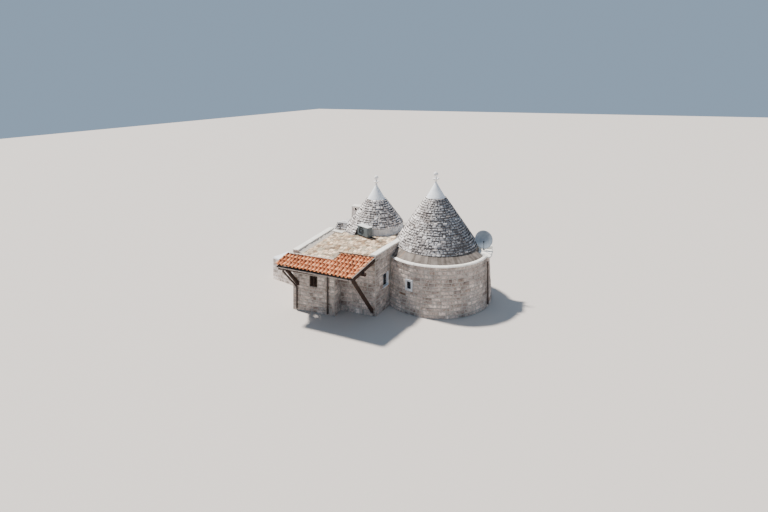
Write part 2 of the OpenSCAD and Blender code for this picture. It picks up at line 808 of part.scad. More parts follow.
// Half-round gutter under the tiles' lower edge
gutter_gap = 10;
gutter_z = canopy_at(-canopy_reach) + deck_top - gutter_gap;
module gutter() {
    length = (verge_low[0] - canopy_x) / cos(eave_turn);
    color(timber) translate([verge_low[0], -canopy_reach, gutter_z]) rotate([0, 0, -eave_turn])
        translate([-length, -gutter_out, 0]) rotate([90, 0, 90]) linear_extrude(length) difference() {
            circle(r = gutter_r);
            circle(r = gutter_r - gutter_t);
            translate([-2 * gutter_r, 0]) square([4 * gutter_r, 2 * gutter_r]);
        }
}
// A pipe through a list of points, with a round sleeve at each bend
pipe_sleeve = 4;
module pipe_run(points) {
    $fn = 48;
    for (i = [0 : len(points) - 2]) {
        d = points[i + 1] - points[i];
        translate(points[i]) rotate([0, acos(d[2] / norm(d)), atan2(d[1], d[0])])
            cylinder(h = norm(d), r = pipe_r);
    }
    for (i = [1 : 1 : len(points) - 2]) translate(points[i]) sphere(r = pipe_r + pipe_sleeve);
}
// One pipe runs from the gutter back under the left strut, one stands in the facade's step and
// one against the round wall
pipe_foot = 90;
pipe_shift = 35;
pipe_knee = 115;
pipe_drop = 120;
module downpipes() {
    top2 = canopy_at(0) + beam_top - pipe_stand;
    foot_x = strut_x - pipe_shift;
    head_x = foot_x - 2 * pipe_r;
    head_y = eave_at(head_x) - gutter_out;
    gutter_low = gutter_z - gutter_r;
    knee_z = strut_left_foot - pipe_knee;
    drum_x = drum_r + pipe_stand;
    color(timber) {
        pipe_run([[foot_x, -pipe_stand, pipe_foot], [foot_x, -pipe_stand, knee_z],
                  [head_x, head_y, gutter_low - pipe_drop], [head_x, head_y, gutter_low]]);
        pipe_run([[-pipe_stand, -pipe_stand, pipe_foot], [-pipe_stand, -pipe_stand, top2]]);
        about(main_c, pipe3_angle) pipe_run([
            [drum_x, 0, pipe_foot + 2 * pipe_r], [drum_x, 0, drum_h - 2 * pipe_r]]);
    }
}

// Closed shutters and casements in the three windows
module window_shutters() {
    leaf_t = 40;
    face = 30;
    color(timber) {
        translate([-window1_x - window1_w / 2, face, window1_z]) cube([window1_w, leaf_t, window1_h]);
        on_right_wall() translate([window2_at, window2_reveal, window2_z])
            cube([window2_w, leaf_t, window2_h]);
        about(main_c, window3_angle) translate([drum_r - drum_batter - 4 * face, -window3_w / 2, window3_z])
            cube([leaf_t, window3_w, window3_h]);
    }
}
// Plaster band round the round wall's window, and the seat it has in the wall
band_depth = 120;
band_t = 85;
module window3_seat(face) {
    translate([drum_r - band_depth, -window3_w / 2 - window3_band, window3_z - window3_band])
        cube([face, window3_w + 2 * window3_band, window3_h + 2 * window3_band]);
}
module window_surround() {
    color(lime) difference() {
        about(main_c, window3_angle) window3_seat(band_t);
        window3_hole();
    }
}

// Closed plank door in the rear doorway
door_t = 60;
module rear_door() {
    set_back = 250;
    color(timber) about(rear_c, door_a) translate([rear_wall_r - set_back, -door_w / 2, 0])
        cube([door_t, door_w, door_h]);
}

// Chimney on the masonry beside the rear cell: a tapered shaft under an open head
chimney_set = 170;
chimney_x = bay_x + chimney_set;
chimney_y = block_d + bay_d - chimney_d;
head_z = chimney_z - flue_slab - flue_h;
taper = 40;
module chimney_side(width) {
    polygon([[-taper, 0], [width + taper, 0], [width, head_z - bay_h], [0, head_z - bay_h]]);
}
module chimney_shaft() {
    color(plaster) difference() {
        translate([chimney_x, chimney_y, bay_h]) intersection() {
            translate([0, chimney_d * 2, 0]) rotate([90, 0, 0]) linear_extrude(chimney_d * 4)
                chimney_side(chimney_w);
            translate([-chimney_w, 0, 0]) rotate([90, 0, 90]) linear_extrude(chimney_w * 4)
                polygon([[0, 0], [chimney_d, 0], [chimney_d - taper, head_z - bay_h], [0, head_z - bay_h]]);
        }
        translate([rear_x, rear_y, 0]) cylinder(h = roof_z, r = rear_wall_r + coping_joint);
        translate([rear_x, rear_y, 0]) cylinder(h = rear_foot_z, r = rear_ring_r + coping_joint);
    }
}
module chimney_piers() {
    color(lime)
        for (x = [0, (chimney_w - flue_pier) / 2, chimney_w - flue_pier])
            translate([chimney_x + x, chimney_y, head_z]) cube([flue_pier, chimney_d - taper, flue_h]);
}
module chimney_slab() {
    color(lime) translate([chimney_x - coping_lip, chimney_y - coping_lip, head_z + flue_h])
        cube([chimney_w + 2 * coping_lip, chimney_d - taper + 2 * coping_lip, flue_slab]);
}

// Low limewashed block that stands askew against the left wall
annex_wall_h = annex_h - annex_roof_t;
module on_annex() { translate([left_x, annex_y, 0]) rotate([0, 0, -annex_turn]) children(); }
// Strip of its plan between two distances from its front, cut flush with the left wall's face
module annex_plan(y0, y1) {
    polygon([[-annex_w, y0], [-y0 * tan(annex_turn), y0], [-y1 * tan(annex_turn), y1],
             [-annex_w, y1]]);
}
module annex_walls() {
    color(plaster) on_annex() {
        linear_extrude(annex_wall_h) annex_plan(0, annex_t);
        linear_extrude(annex_wall_h) annex_plan(annex_d - annex_t, annex_d);
        translate([-annex_w, annex_t + flat_joint, 0])
            cube([annex_t, annex_d - 2 * (annex_t + flat_joint), annex_wall_h]);
    }
}
module annex_roof() {
    color(lime) on_annex() translate([0, 0, annex_wall_h]) linear_extrude(annex_roof_t)
        annex_plan(0, annex_d);
}

// Outdoor air unit on two rails, with a round grille in its face
unit_turn = -27;
rail_h = 60;
rail_w = 50;
fan_r = unit_h * 0.4;
fan_x = unit_w * 0.38;
fan_depth = 20;
module on_unit() {
    translate([rear_x, rear_y - rear_wall_r + unit_d, roof_z]) rotate([0, 0, unit_turn]) children();
}
module air_unit() {
    lid_t = 25;
    lid_lip = 8;
    color(metal_grey) on_unit() translate([-unit_w / 2, -unit_d / 2, rail_h]) {
        difference() {
            cube([unit_w, unit_d, unit_h - lid_t]);
            translate([fan_x, -past, unit_h / 2]) rotate([-90, 0, 0])
                cylinder(h = fan_depth + past, r = fan_r);
        }
        translate([-lid_lip, -lid_lip, unit_h - lid_t])
            cube([unit_w + 2 * lid_lip, unit_d + 2 * lid_lip, lid_t]);
    }
}
module air_unit_rails() {
    reach = 250;
    color(timber) on_unit() for (y = [-1, 1])
        translate([-unit_w / 2 + rail_w, y * unit_d / 3 - rail_w / 2, 0])
            cube([unit_w + reach, rail_w, rail_h]);
}

// Satellite dish on a pole that stands on the level end of the thick wall
dish_shell = 12;
dish_ball = (pow(dish_d / 2, 2) + pow(dish_depth, 2)) / (2 * dish_depth);
module on_pole() {
    about(main_c, dish_angle) translate([pole_at, 0, ledge_z])
        rotate([0, 0, dish_turn - dish_angle]) children();
}
module on_dish() { translate([0, 0, pole_h]) rotate([dish_tilt, 0, 0]) children(); }
module dish() {
    color(metal_grey) on_pole() on_dish() rotate_extrude() intersection() {
        difference() {
            translate([0, dish_ball]) circle(r = dish_ball);
            translate([0, dish_ball + dish_shell]) circle(r = dish_ball);
        }
        square([dish_d / 2, dish_depth]);
    }
}
// Its pole, cut to the dish's back
module dish_mount() {
    color(metal_grey) on_pole() difference() {
        cylinder(h = pole_h + 2 * pole_r, r = pole_r);
        on_dish() translate([0, 0, dish_ball]) sphere(r = dish_ball + flat_joint);
    }
}

module place() { translate([-mid[0], -mid[1], 0]) children(); }
place() main_wall_front();
place() main_wall_back();
place() main_wall_inner();
place() doorway_lintels();
place() main_coping();
place() main_ledge();
place() main_cone();
place() main_cap();
place() main_pinnacle();
place() rear_wall_left();
place() rear_wall_right();
place() rear_ring();
place() rear_cone();
place() rear_cap();
place() rear_pinnacle();
place() front_wall_left();
place() front_wall_right();
place() left_wall();
place() right_wall();
place() back_wall();
place() hearth_bay();
place() flat_roof();
place() block_coping();
place() back_parapet();
place() stepped_roof();
place() canopy_tiles();
place() canopy_boards();
place() canopy_verges();
place() canopy_rafters();
place() canopy_beams();
place() canopy_struts();
place() gutter();
place() downpipes();
place() window_shutters();
place() window_surround();
place() rear_door();
place() chimney_shaft();
place() chimney_piers();
place() chimney_slab();
place() annex_walls();
place() annex_roof();
place() air_unit();
place() air_unit_rails();
place() dish();
place() dish_mount();
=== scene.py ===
import bpy
import bmesh
import math
import random
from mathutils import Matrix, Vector


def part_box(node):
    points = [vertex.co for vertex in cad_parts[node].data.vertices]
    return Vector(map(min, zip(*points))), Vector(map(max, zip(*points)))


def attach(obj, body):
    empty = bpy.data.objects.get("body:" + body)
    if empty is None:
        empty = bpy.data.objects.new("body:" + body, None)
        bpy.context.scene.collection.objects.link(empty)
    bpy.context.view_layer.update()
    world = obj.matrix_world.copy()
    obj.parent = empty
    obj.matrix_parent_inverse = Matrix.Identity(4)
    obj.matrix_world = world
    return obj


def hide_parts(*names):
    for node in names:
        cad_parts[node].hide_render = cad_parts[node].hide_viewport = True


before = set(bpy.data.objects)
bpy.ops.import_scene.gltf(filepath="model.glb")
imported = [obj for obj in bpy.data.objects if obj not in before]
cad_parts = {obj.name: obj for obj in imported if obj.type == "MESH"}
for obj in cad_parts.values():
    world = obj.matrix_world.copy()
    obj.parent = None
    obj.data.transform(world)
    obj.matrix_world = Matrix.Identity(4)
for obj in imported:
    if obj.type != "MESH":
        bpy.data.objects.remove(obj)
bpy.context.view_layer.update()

# The plan: a point on the facade line beside its middle downpipe is the setting-out point of the
# whole house. Places are given in metres from it, along the facade and back, and up from the floor.
STEP_X = 0.25
facade_lo, facade_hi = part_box("front_wall_left")
SET_X, SET_Y = facade_hi[0] - STEP_X, facade_lo[1]


def plan(x, y, z=0.0):
    return Vector((SET_X + x, SET_Y + y, z))


# The camera hangs level in the air in front of the house and to its right, as a small drone
# does, and looks past the facade with the horizon near the top of the picture.


def in_scene(name, data):
    """A new object of that data, linked into the scene."""
    thing = bpy.data.objects.new(name, data)
    bpy.context.scene.collection.objects.link(thing)
    return thing


camera = in_scene("camera", bpy.data.cameras.new("camera"))
camera.location = plan(9.438, -18.254, 9.95)
camera.rotation_euler = (math.radians(90), 0, math.radians(20.715))
camera.data.sensor_width = 36.0
camera.data.lens = 22.105
camera.data.shift_y = -0.2215
camera.data.clip_end = 500
bpy.context.scene.camera = camera

# The ground is a plain pale floor. The light is a broad high lamp behind and to the left, with a
# pale even sky all round, so every course keeps a soft shadow.
floor_mesh = bpy.data.meshes.new("floor")
floor_mesh.from_pydata([(-90, -60, 0), (90, -60, 0), (90, 160, 0), (-90, 160, 0)], [], [(0, 1, 2, 3)])
floor = in_scene("floor", floor_mesh)
floor_paint = bpy.data.materials.new("pale floor")
floor_paint.use_nodes = True
paint = floor_paint.node_tree.nodes["Principled BSDF"].inputs
paint["Base Color"].default_value = (0.60, 0.545, 0.50, 1)
paint["Roughness"].default_value = 0.9
floor_mesh.materials.append(floor_paint)
sun = in_scene("sun", bpy.data.lights.new("sun", "SUN"))
sun.data.energy = 8.8
sun.data.angle = math.radians(5)
sun.data.color = (1.0, 0.96, 0.90)
sun.rotation_euler = Vector((-0.546, 0.078, 0.834)).to_track_quat("Z", "Y").to_euler()
sky = bpy.data.worlds.new("sky")
sky.use_nodes = True
air = sky.node_tree.nodes["Background"].inputs
air["Color"].default_value = (0.58, 0.78, 1.04, 1)
air["Strength"].default_value = 0.50
bpy.context.scene.world = sky

# The walls are coursed rubble of pale limestone, bedded in lime mortar, with a brown stone here
# and there. Stones are roughly squared blocks a hand and a half long, and stand a little proud of
# their pointing. The bare wall behind them is the mortar.
COURSE, STONE_LENGTH = (0.125, 0.19), (0.16, 0.42)


class Masonry:
    """Loose parts gathered into one mesh, each with its tone: lightness, brownness, and a chance."""

    def __init__(self):
        self.points, self.faces, self.tones = [], [], []

    def add(self, points, faces, tone):
        start = len(self.points)
        self.points += points
        self.faces += [tuple(start + i for i in f) for f in faces]
        self.tones += tone if isinstance(tone, list) else [tone] * len(points)

    def finish(self, name, material, slot, smooth=True, replaces=(), closed=False):
        mesh = bpy.data.meshes.new(name)
        mesh.from_pydata([tuple(p) for p in self.points], [], self.faces)
        if closed:
            turned = bmesh.new()
            turned.from_mesh(mesh)
            bmesh.ops.recalc_face_normals(turned, faces=turned.faces)
            turned.to_mesh(mesh)
            turned.free()
        tone = mesh.color_attributes.new("tone", "FLOAT_COLOR", "POINT")
        for i, t in enumerate(self.tones):
            tone.data[i].color = (*t, 1)
        mesh.materials.append(material)
        if smooth:
            mesh.shade_smooth()
            mesh.set_sharp_from_angle(angle=math.radians(38))
        piece = in_scene(name, mesh)
        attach(piece, "root")
        if replaces:
            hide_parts(*replaces)
        return piece


def grid_faces(columns, rows):
    return [(c * rows + r, (c + 1) * rows + r, (c + 1) * rows + r + 1, c * rows + r + 1)
            for c in range(columns - 1) for r in range(rows - 1)]


def bedded_stone(wall, put, u0, u1, v0, v1, proud, rng, tone):
    """A squared stone with a slightly pillowed face and worn arrises, bedded in the mortar."""
    soft = min(0.022, (u1 - u0) * 0.22, (v1 - v0) * 0.22)
    across = [u0, u0 + soft, u0 + (u1 - u0) * 0.37, u0 + (u1 - u0) * 0.67, u1 - soft, u1]
    up = [v0, v0 + soft, (v0 + v1) / 2, v1 - soft, v1]
    lean = rng.uniform(-0.006, 0.006)
    skew = rng.uniform(-0.008, 0.008)
    points = []
    for c, u in enumerate(across):
        for r, v in enumerate(up):
            edge = c in (0, 5) or r in (0, 4)
            corner = c in (0, 5) and r in (0, 4)
            rise = (v - v0) / (v1 - v0)
            out = -0.012 if edge else proud + lean * rise + rng.uniform(-0.003, 0.003)
            du = skew * rise + (0.006 * (1 if c == 0 else -1) if corner else 0)
            dv = (0.006 * (1 if r == 0 else -1) if corner else 0) + rng.uniform(-0.003, 0.003)
            points.append(put(u + du, v + dv, out))
    wall.add(points, grid_faces(6, 5), tone)


def stone_tone(rng, brown=0.035):
    browning = rng.uniform(0.35, 0.9) if rng.random() < brown else rng.uniform(0, 0.22)
    return (rng.gauss(0.5, 0.19), browning, rng.random())


def lay_courses(wall, put, length, top, seed, holes=(), bottom=0.0, start=0.0, joint=0.013, proud=0.011):
    """Courses of stones from bottom to top, broken round each hole (u0, u1, v0, v1)."""
    rng = random.Random(seed)
    half = joint / 2
    breaks = sorted({bottom, top, *[h[2] for h in holes if bottom < h[2] < top],
                     *[h[3] for h in holes if bottom < h[3] < top]})
    for low, high in zip(breaks, breaks[1:]):
        count = max(1, round((high - low) / rng.uniform(*COURSE)))
        weights = [rng.uniform(0.8, 1.25) for _ in range(count)]
        v = low
        for w in weights:
            v_next = v + (high - low) * w / sum(weights)
            runs = [(start, length)]
            for h in holes:
                if v < h[3] - 1e-4 and v_next > h[2] + 1e-4:
                    runs = [piece for a, b in runs for piece in ((a, min(b, h[0])), (max(a, h[1]), b))
                            if piece[1] - piece[0] > 0.03]
            for a, b in runs:
                u = a
                while u < b - 0.01:
                    u_next = u + rng.uniform(*STONE_LENGTH)
                    if b - u_next < STONE_LENGTH[0] * 0.8:
                        u_next = b
                    bedded_stone(wall, put, u + half, u_next - half, v + half, v_next - half,
                                 proud + rng.uniform(-0.004, 0.006), rng, stone_tone(rng))
                    u = u_next
            v = v_next


def shader(name, roughness=0.85, specular=0.3):
    """A new node material: the material, a maker of nodes, a linker to its shader, and places on it."""
    material = bpy.data.materials.new(name)
    material.use_nodes = True
    tree = material.node_tree
    body = tree.nodes["Principled BSDF"]
    body.inputs["Roughness"].default_value = roughness
    body.inputs["Specular IOR Level"].default_value = specular
    where = tree.nodes.new("ShaderNodeTexCoord").outputs["Object"]

    def node(kind, inputs=None, **settings):
        n = tree.nodes.new("ShaderNode" + kind)
        for key, value in settings.items():
            setattr(n, key, value)
        for key, value in (inputs or {}).items():
            if hasattr(value, "is_output"):
                tree.links.new(value, n.inputs[key])
            else:
                n.inputs[key].default_value = value
        return n

    def link(a, b):
        tree.links.new(a, body.inputs[b])

    return material, node, link, where


def grain(node, where, scale, detail=6.0, stretch=(1, 1, 1), roughness=0.6):
    spot = node("Mapping", {"Vector": where, "Scale": stretch}).outputs["Vector"]
    return node("TexNoise", {"Vector": spot, "Scale": scale, "Detail": detail,
                             "Roughness": roughness}).outputs["Fac"]


def ramp(node, fac, stops):
    n = node("ValToRGB", {"Fac": fac})
    elements = n.color_ramp.elements
    while len(elements) < len(stops):
        elements.new(0.5)
    for e, (place, colour) in zip(elements, stops):
        e.position = place
        e.color = (*colour, 1)
    return n.outputs["Color"]


def mix(node, fac, a, b, kind="MIX"):
    return node("Mix", {0: fac, 6: a, 7: b}, data_type="RGBA", blend_type=kind).outputs[2]


def bump(node, link, height, strength, distance):
    raised = node("Bump", {"Height": height, "Strength": strength, "Distance": distance})
    link(raised.outputs["Normal"], "Normal")


def stone_finish(name, light, dark, brown, pit=0.5, lichen_and_painted_shade=(0.50, 0.455, 0.43), lichen_from=0.9,
                 stain=0.9):
    """Limestone that differs from block to block, with cloudy stains, pits and a worn surface."""
    material, node, link, where = shader(name, 0.9, 0.25)
    tone = node("Attribute", attribute_name="tone")
    parts = node("SeparateColor", {"Color": tone.outputs["Color"]}).outputs
    between = tuple((a + b) / 2 for a, b in zip(dark, light))
    base = ramp(node, parts["Red"], [(0.1, dark), (0.5, between), (0.9, light)])
    base = mix(node, parts["Green"], base, (*brown, 1))
    grey = ramp(node, parts["Blue"], [(lichen_from, (0, 0, 0)), (lichen_from + 0.03, (0.8, 0.8, 0.8))])
    base = mix(node, grey, base, (*lichen_and_painted_shade, 1))
    cloud = ramp(node, grain(node, where, 1.7), [(0.36, (0.55, 0.51, 0.49)), (0.56, (1.12, 1.10, 1.08))])
    base = mix(node, stain, base, cloud, "MULTIPLY")
    patch = ramp(node, grain(node, where, 11, 4), [(0.36, (0.60, 0.57, 0.54)), (0.56, (1.12, 1.11, 1.10))])
    base = mix(node, stain, base, patch, "MULTIPLY")
    fine = grain(node, where, 42, 8)
    speck = ramp(node, fine, [(0.28, (0.72, 0.70, 0.68)), (0.55, (1.03, 1.03, 1.03))])
    base = mix(node, 0.8, base, speck, "MULTIPLY")
    link(base, "Base Color")
    bump(node, link, fine, pit, 0.006)
    return material


def two_tone(name, roughness, specular, patches, dark, light, grit, depth, places=(0.3, 0.7), runs=None):
    """A finish in patches between two colours, with a gritty surface and, if asked, rain runs.

    patches and grit are settings of the grain, depth is the grit's strength and its height in metres,
    and runs is a share, a grain, and two (place, colour) stops that darken the colour."""
    material, node, link, where = shader(name, roughness, specular)
    base = ramp(node, grain(node, where, *patches), list(zip(places, (dark, light))))
    if runs:
        share, run_grain, *stops = runs
        base = mix(node, share, base, ramp(node, grain(node, where, *run_grain), stops), "MULTIPLY")
    link(base, "Base Color")
    bump(node, link, grain(node, where, *grit), *depth)
    return material


def dress(material, *names):
    """Gives its finish to what stays visible of the frame."""
    for name in names:
        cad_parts[name].data.materials.clear()
        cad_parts[name].data.materials.append(material)


wall_stone = stone_finish("wall stone", (0.86, 0.755, 0.70), (0.36, 0.31, 0.29), (0.30, 0.20, 0.14))
mortar = two_tone("lime mortar", 0.95, 0.2, (5,), (0.36, 0.33, 0.29), (0.50, 0.46, 0.41),
                  (90, 4), (0.5, 0.004))
dress(mortar, "main_wall_front", "main_wall_back", "main_wall_inner", "doorway_lintels",
      "rear_wall_left", "rear_wall_right", "front_wall_left", "front_wall_right", "left_wall",
      "right_wall", "back_wall", "hearth_bay")

# The round wall of the main cell is laid in the same bedded rubble, thick in front, with a small
# window, and thinner at the back. Both faces lean in a little, and the thick part ends in a square
# return. It is set out from the middle of the limewashed cap.
MAIN = [sum(c) / 2 for c in zip(*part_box("main_cap"))][:2]
DRUM_R, DRUM_BACK_R, DRUM_TOP = 2.6, 2.2, 2.16
LEAN = 0.11 / DRUM_TOP
meets_block, thick_end, meets_rear = -129.3, 16.0, 139.3
window_turn, window_half, window_sill, window_head = -103.0, 0.175, 1.015, 1.495


def round_wall(centre, radius, angle, lean=0.0, z0=0.0):
    """Puts stones on a round wall, from a direction anticlockwise, with a battered face."""
    def put(u, v, out):
        a = math.radians(angle) + u / radius
        r = radius - lean * v + out
        return Vector((centre[0] + r * math.cos(a), centre[1] + r * math.sin(a), z0 + v))
    return put


arc = math.radians(thick_end - meets_block) * DRUM_R
window_u = math.radians(window_turn - meets_block) * DRUM_R
drum = Masonry()
lay_courses(drum, round_wall(MAIN, DRUM_R, meets_block, LEAN), arc, DRUM_TOP, 11,
            [(window_u - window_half, window_u + window_half, window_sill, window_head)])
end_cos, end_sin = math.cos(math.radians(thick_end)), math.sin(math.radians(thick_end))
end = [Vector((MAIN[0], MAIN[1], 0)) + r * Vector((end_cos, end_sin, 0)) for r in (DRUM_R, DRUM_BACK_R)]
out_of_end = Vector((-end_sin, end_cos, 0))
run_in = (end[1] - end[0]).normalized()
lay_courses(drum, lambda u, v, out: end[0] + run_in * (u + LEAN * v) + out_of_end * out + Vector((0, 0, v)),
            DRUM_R - DRUM_BACK_R, DRUM_TOP, 12)
drum.finish("main_wall_stones", wall_stone, "wall_stone")
drum_back = Masonry()
lay_courses(drum_back, round_wall(MAIN, DRUM_BACK_R, thick_end, LEAN),
            math.radians(meets_rear - thick_end) * DRUM_BACK_R, DRUM_TOP, 13)
drum_back.finish("main_back_stones", wall_stone, "wall_stone")

# The flat-roofed block has walls of the same rubble: the facade with its shuttered window and its
# step, the skewed side wall with its deep window, which runs on over the ledge to the cone, and the
# plain left and back walls.
LEFT_X = facade_lo[0] - SET_X
STEP_D, BLOCK_D, CORNER = 0.60, 3.5, (1.911, 0.6)
SIDE = (math.cos(math.radians(81)), math.sin(math.radians(81)))
BEAM_Z, PARAPET_Z = 2.3, 2.605
meets_drum, meets_cone, ledge_foot = 1.262, 2.36, 2.22
facade_window_x, facade_window_w, facade_window_h, facade_sill = -0.9675, 0.385, 0.475, 1.135
side_window_u, side_window_w, side_window_h, side_sill = 0.66, 0.50, 0.60, 1.0
low_block_end = (0.72, 1.77, 0, 1.12)


def straight(x0, y0, x1, y1, z0=0.0):
    """Puts stones on a flat wall that runs from one plan point to another, face to the right."""
    a, b = plan(x0, y0, z0), plan(x1, y1, z0)
    along = (b - a).normalized()
    face = Vector((along.y, -along.x, 0))
    return lambda u, v, out: a + along * u + face * out + Vector((0, 0, v))


block = Masonry()
window_1_u = facade_window_x - LEFT_X
lay_courses(block, straight(LEFT_X, 0, STEP_X, 0), STEP_X - LEFT_X, BEAM_Z, 21,
            [(window_1_u, window_1_u + facade_window_w, facade_sill, facade_sill + facade_window_h)])
lay_courses(block, straight(STEP_X, 0, STEP_X, STEP_D), STEP_D, BEAM_Z, 22)
lay_courses(block, straight(STEP_X, STEP_D, *CORNER), CORNER[0] - STEP_X, BEAM_Z, 23)
side_wall = straight(*CORNER, CORNER[0] + SIDE[0] * 2.5, CORNER[1] + SIDE[1] * 2.5)
lay_courses(block, side_wall, meets_drum, PARAPET_Z, 24,
            [(side_window_u, side_window_u + side_window_w, side_sill, side_sill + side_window_h)])
lay_courses(block, side_wall, meets_cone, PARAPET_Z, 25, bottom=ledge_foot, start=meets_drum)
lay_courses(block, straight(LEFT_X, BLOCK_D, LEFT_X, 0), BLOCK_D, PARAPET_Z, 26, [low_block_end])
block.finish("block_stones", wall_stone, "wall_stone")

# The rear cell's wall and the masonry beside it, which carries the chimney. They show only from
# behind, and have the same rubble with the plank door's opening left in it.
REAR = [sum(c) / 2 for c in zip(*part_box("rear_cap"))][:2]
REAR_R, REAR_TOP, DOOR_HALF = 1.85, 2.5, 0.43
rear_from, rear_to, stub_from, stub_turn = 16.7, 133.6, 206.7, 15.8
BAY_X, BAY_END_X, BAY_Y, BAY_W, BAY_D, BAY_TOP = -1.68, -0.965, 6.09, 0.715, 2.59, 2.4
rear = Masonry()
door_u = math.radians(90 - rear_from) * REAR_R
lay_courses(rear, round_wall(REAR, REAR_R, rear_from), math.radians(rear_to - rear_from) * REAR_R,
            REAR_TOP, 31, [(door_u - DOOR_HALF, door_u + DOOR_HALF, 0, 1.9)])
lay_courses(rear, round_wall(REAR, REAR_R, stub_from), math.radians(stub_turn) * REAR_R, REAR_TOP, 32)
lay_courses(rear, straight(BAY_X, BAY_Y, BAY_X, BLOCK_D), BAY_D, BAY_TOP, 33)
lay_courses(rear, straight(BAY_END_X, BAY_Y, BAY_X, BAY_Y), BAY_W, BAY_TOP, 35)
lay_courses(rear, straight(BAY_X, BLOCK_D, LEFT_X, BLOCK_D), BAY_X - LEFT_X, PARAPET_Z, 34)
rear.finish("rear_wall_stones", wall_stone, "wall_stone")

# Each roof cone is laid dry from thin grey limestone slabs, course on course, each set back from the one
# below. Each slab's upper edge carries a painted highlight, its foot and ends carry painted shade, and the
# joints between slabs are dark.
ROOF_COURSE, SLAB_LENGTH = 0.094, (0.10, 0.27)
REAR_FOOT_R, REAR_RISE, REAR_FOOT_Z = 1.39, 1.83, 2.83
# The roof stone's bluish dark end is where the painted shade on the slabs falls.
roof_stone = stone_finish("roof stone", (0.99, 0.97, 0.97), (0.25, 0.28, 0.325), (0.42, 0.37, 0.34), 0.8)


def roof_slab(roof, put, u0, u1, height, tread, rng, tone):
    """One slab: a face that leans back, a painted highlight along its upper edge, and painted shade at its
    foot and ends.
    """
    out = rng.uniform(0.008, 0.026)
    lean = rng.uniform(0.020, 0.048)
    drop = rng.uniform(-0.004, 0.012)
    foot = rng.uniform(0.008, 0.020)
    section = [(-0.030, foot - 0.004), (out - 0.008, foot), (out, foot + 0.012),
               (out - lean * 0.5, height * 0.62), (out - lean, height - 0.010 - drop),
               (out - lean - 0.016, height + 0.002 - drop * 0.5),
               (-tread - 0.015, height + 0.006), (-tread - 0.015, foot - 0.004)]
    # Painted light down each slab's section: the foot is painted darker as shade, and the upper edge lighter
    # as a highlight.
    painted_light_and_shade = (-0.40, -0.22, -0.04, 0.08, 0.20, 0.24, 0.05, -0.5)
    soft = min(0.018, (u1 - u0) * 0.2)
    points, tones = [], []
    for u, back in ((u0, 0.014), (u0 + soft, 0), ((u0 + u1) / 2, -0.003), (u1 - soft, 0), (u1, 0.014)):
        for k, (o, v) in enumerate(section):
            worn = rng.uniform(-0.0035, 0.0035) if 0 < k < 6 else 0
            points.append(put(u, v + (worn if k > 2 else 0) - (back * 0.3 if 2 < k < 6 else 0),
                              o + worn - (back if 0 < k < 6 else 0)))
            # The slab's ends are painted darker still, as shade between slabs.
            tones.append((tone[0] + painted_light_and_shade[k] - (0.2 if back > 0 else 0), tone[1], tone[2]))
    ends = [tuple(range(7, -1, -1)), tuple(range(32, 40))]
    roof.add(points, grid_faces(5, 8) + ends, tones)


def lay_cone(name, centre, foot_r, rise, foot_z, courses, seed, lightness, lichen_and_painted_shade):
    """A cone of slabs; the last argument is painted shade: how much darker the slabs are painted on the side
    away from the sun, and, below zero, how much lighter.
    """
    rng = random.Random(seed)
    roof = Masonry()
    tread = ROOF_COURSE * foot_r / rise
    for i in range(courses):
        radius = foot_r - i * ROOF_COURSE * foot_r / rise
        put = round_wall(centre, radius, 0, z0=foot_z + i * ROOF_COURSE)
        total = 2 * math.pi * radius
        cuts = [rng.uniform(0, 0.3)]
        while cuts[-1] < cuts[0] + total - 0.14:
            cuts.append(cuts[-1] + rng.uniform(*SLAB_LENGTH))
        cuts[-1] = cuts[0] + total
        for u0, u1 in zip(cuts, cuts[1:]):
            gap = rng.uniform(0.004, 0.010)
            # Painted shade: each slab is painted darker the more it faces away from the sun.
            shade = lichen_and_painted_shade * math.cos(u0 / radius + math.radians(20))
            tone = (rng.gauss(lightness, 0.11) - shade, rng.uniform(0, 0.18), rng.random())
            roof_slab(roof, put, u0 + gap, u1 - gap, ROOF_COURSE, tread, rng, tone)
    roof.finish(name, roof_stone, "roof_stone")


lay_cone("main_cone_slabs", MAIN, foot_r=1.965, rise=2.829, foot_z=2.44, courses=23, seed=41,
         lightness=0.70, lichen_and_painted_shade=0.46)
lay_cone("rear_cone_slabs", REAR, REAR_FOOT_R, REAR_RISE, REAR_FOOT_Z, courses=13, seed=42,
         lightness=1.04, lichen_and_painted_shade=-0.12)
joints = two_tone("dry joints", 0.95, 0.1, (30,), (0.045, 0.042, 0.044), (0.14, 0.125, 0.12),
                  (60,), (0.6, 0.01))
dress(joints, "main_cone", "rear_cone")

# Coping slabs of sawn cream stone lie along the thick front wall and make its ledge. They are laid
# dry with open joints. The last three reach in to the cone's foot, and a lumpy lime kerb lies
# across their end.
DRUM_COPING_R, LEVEL_OUT_R, SHOULDER_R, LEVEL_R = 2.54, 2.665, 2.34, 1.99
COPING_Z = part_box("main_ledge")[0][2]
LEDGE_Z = COPING_Z + 0.06
coping_from, coping_turn, coping_gap = -142.0, 158 / 18, 0.07
first_slab, level_slab, last_slab = 2, 15, 17
kerb_end, kerb_turn = 16.0, 2.9


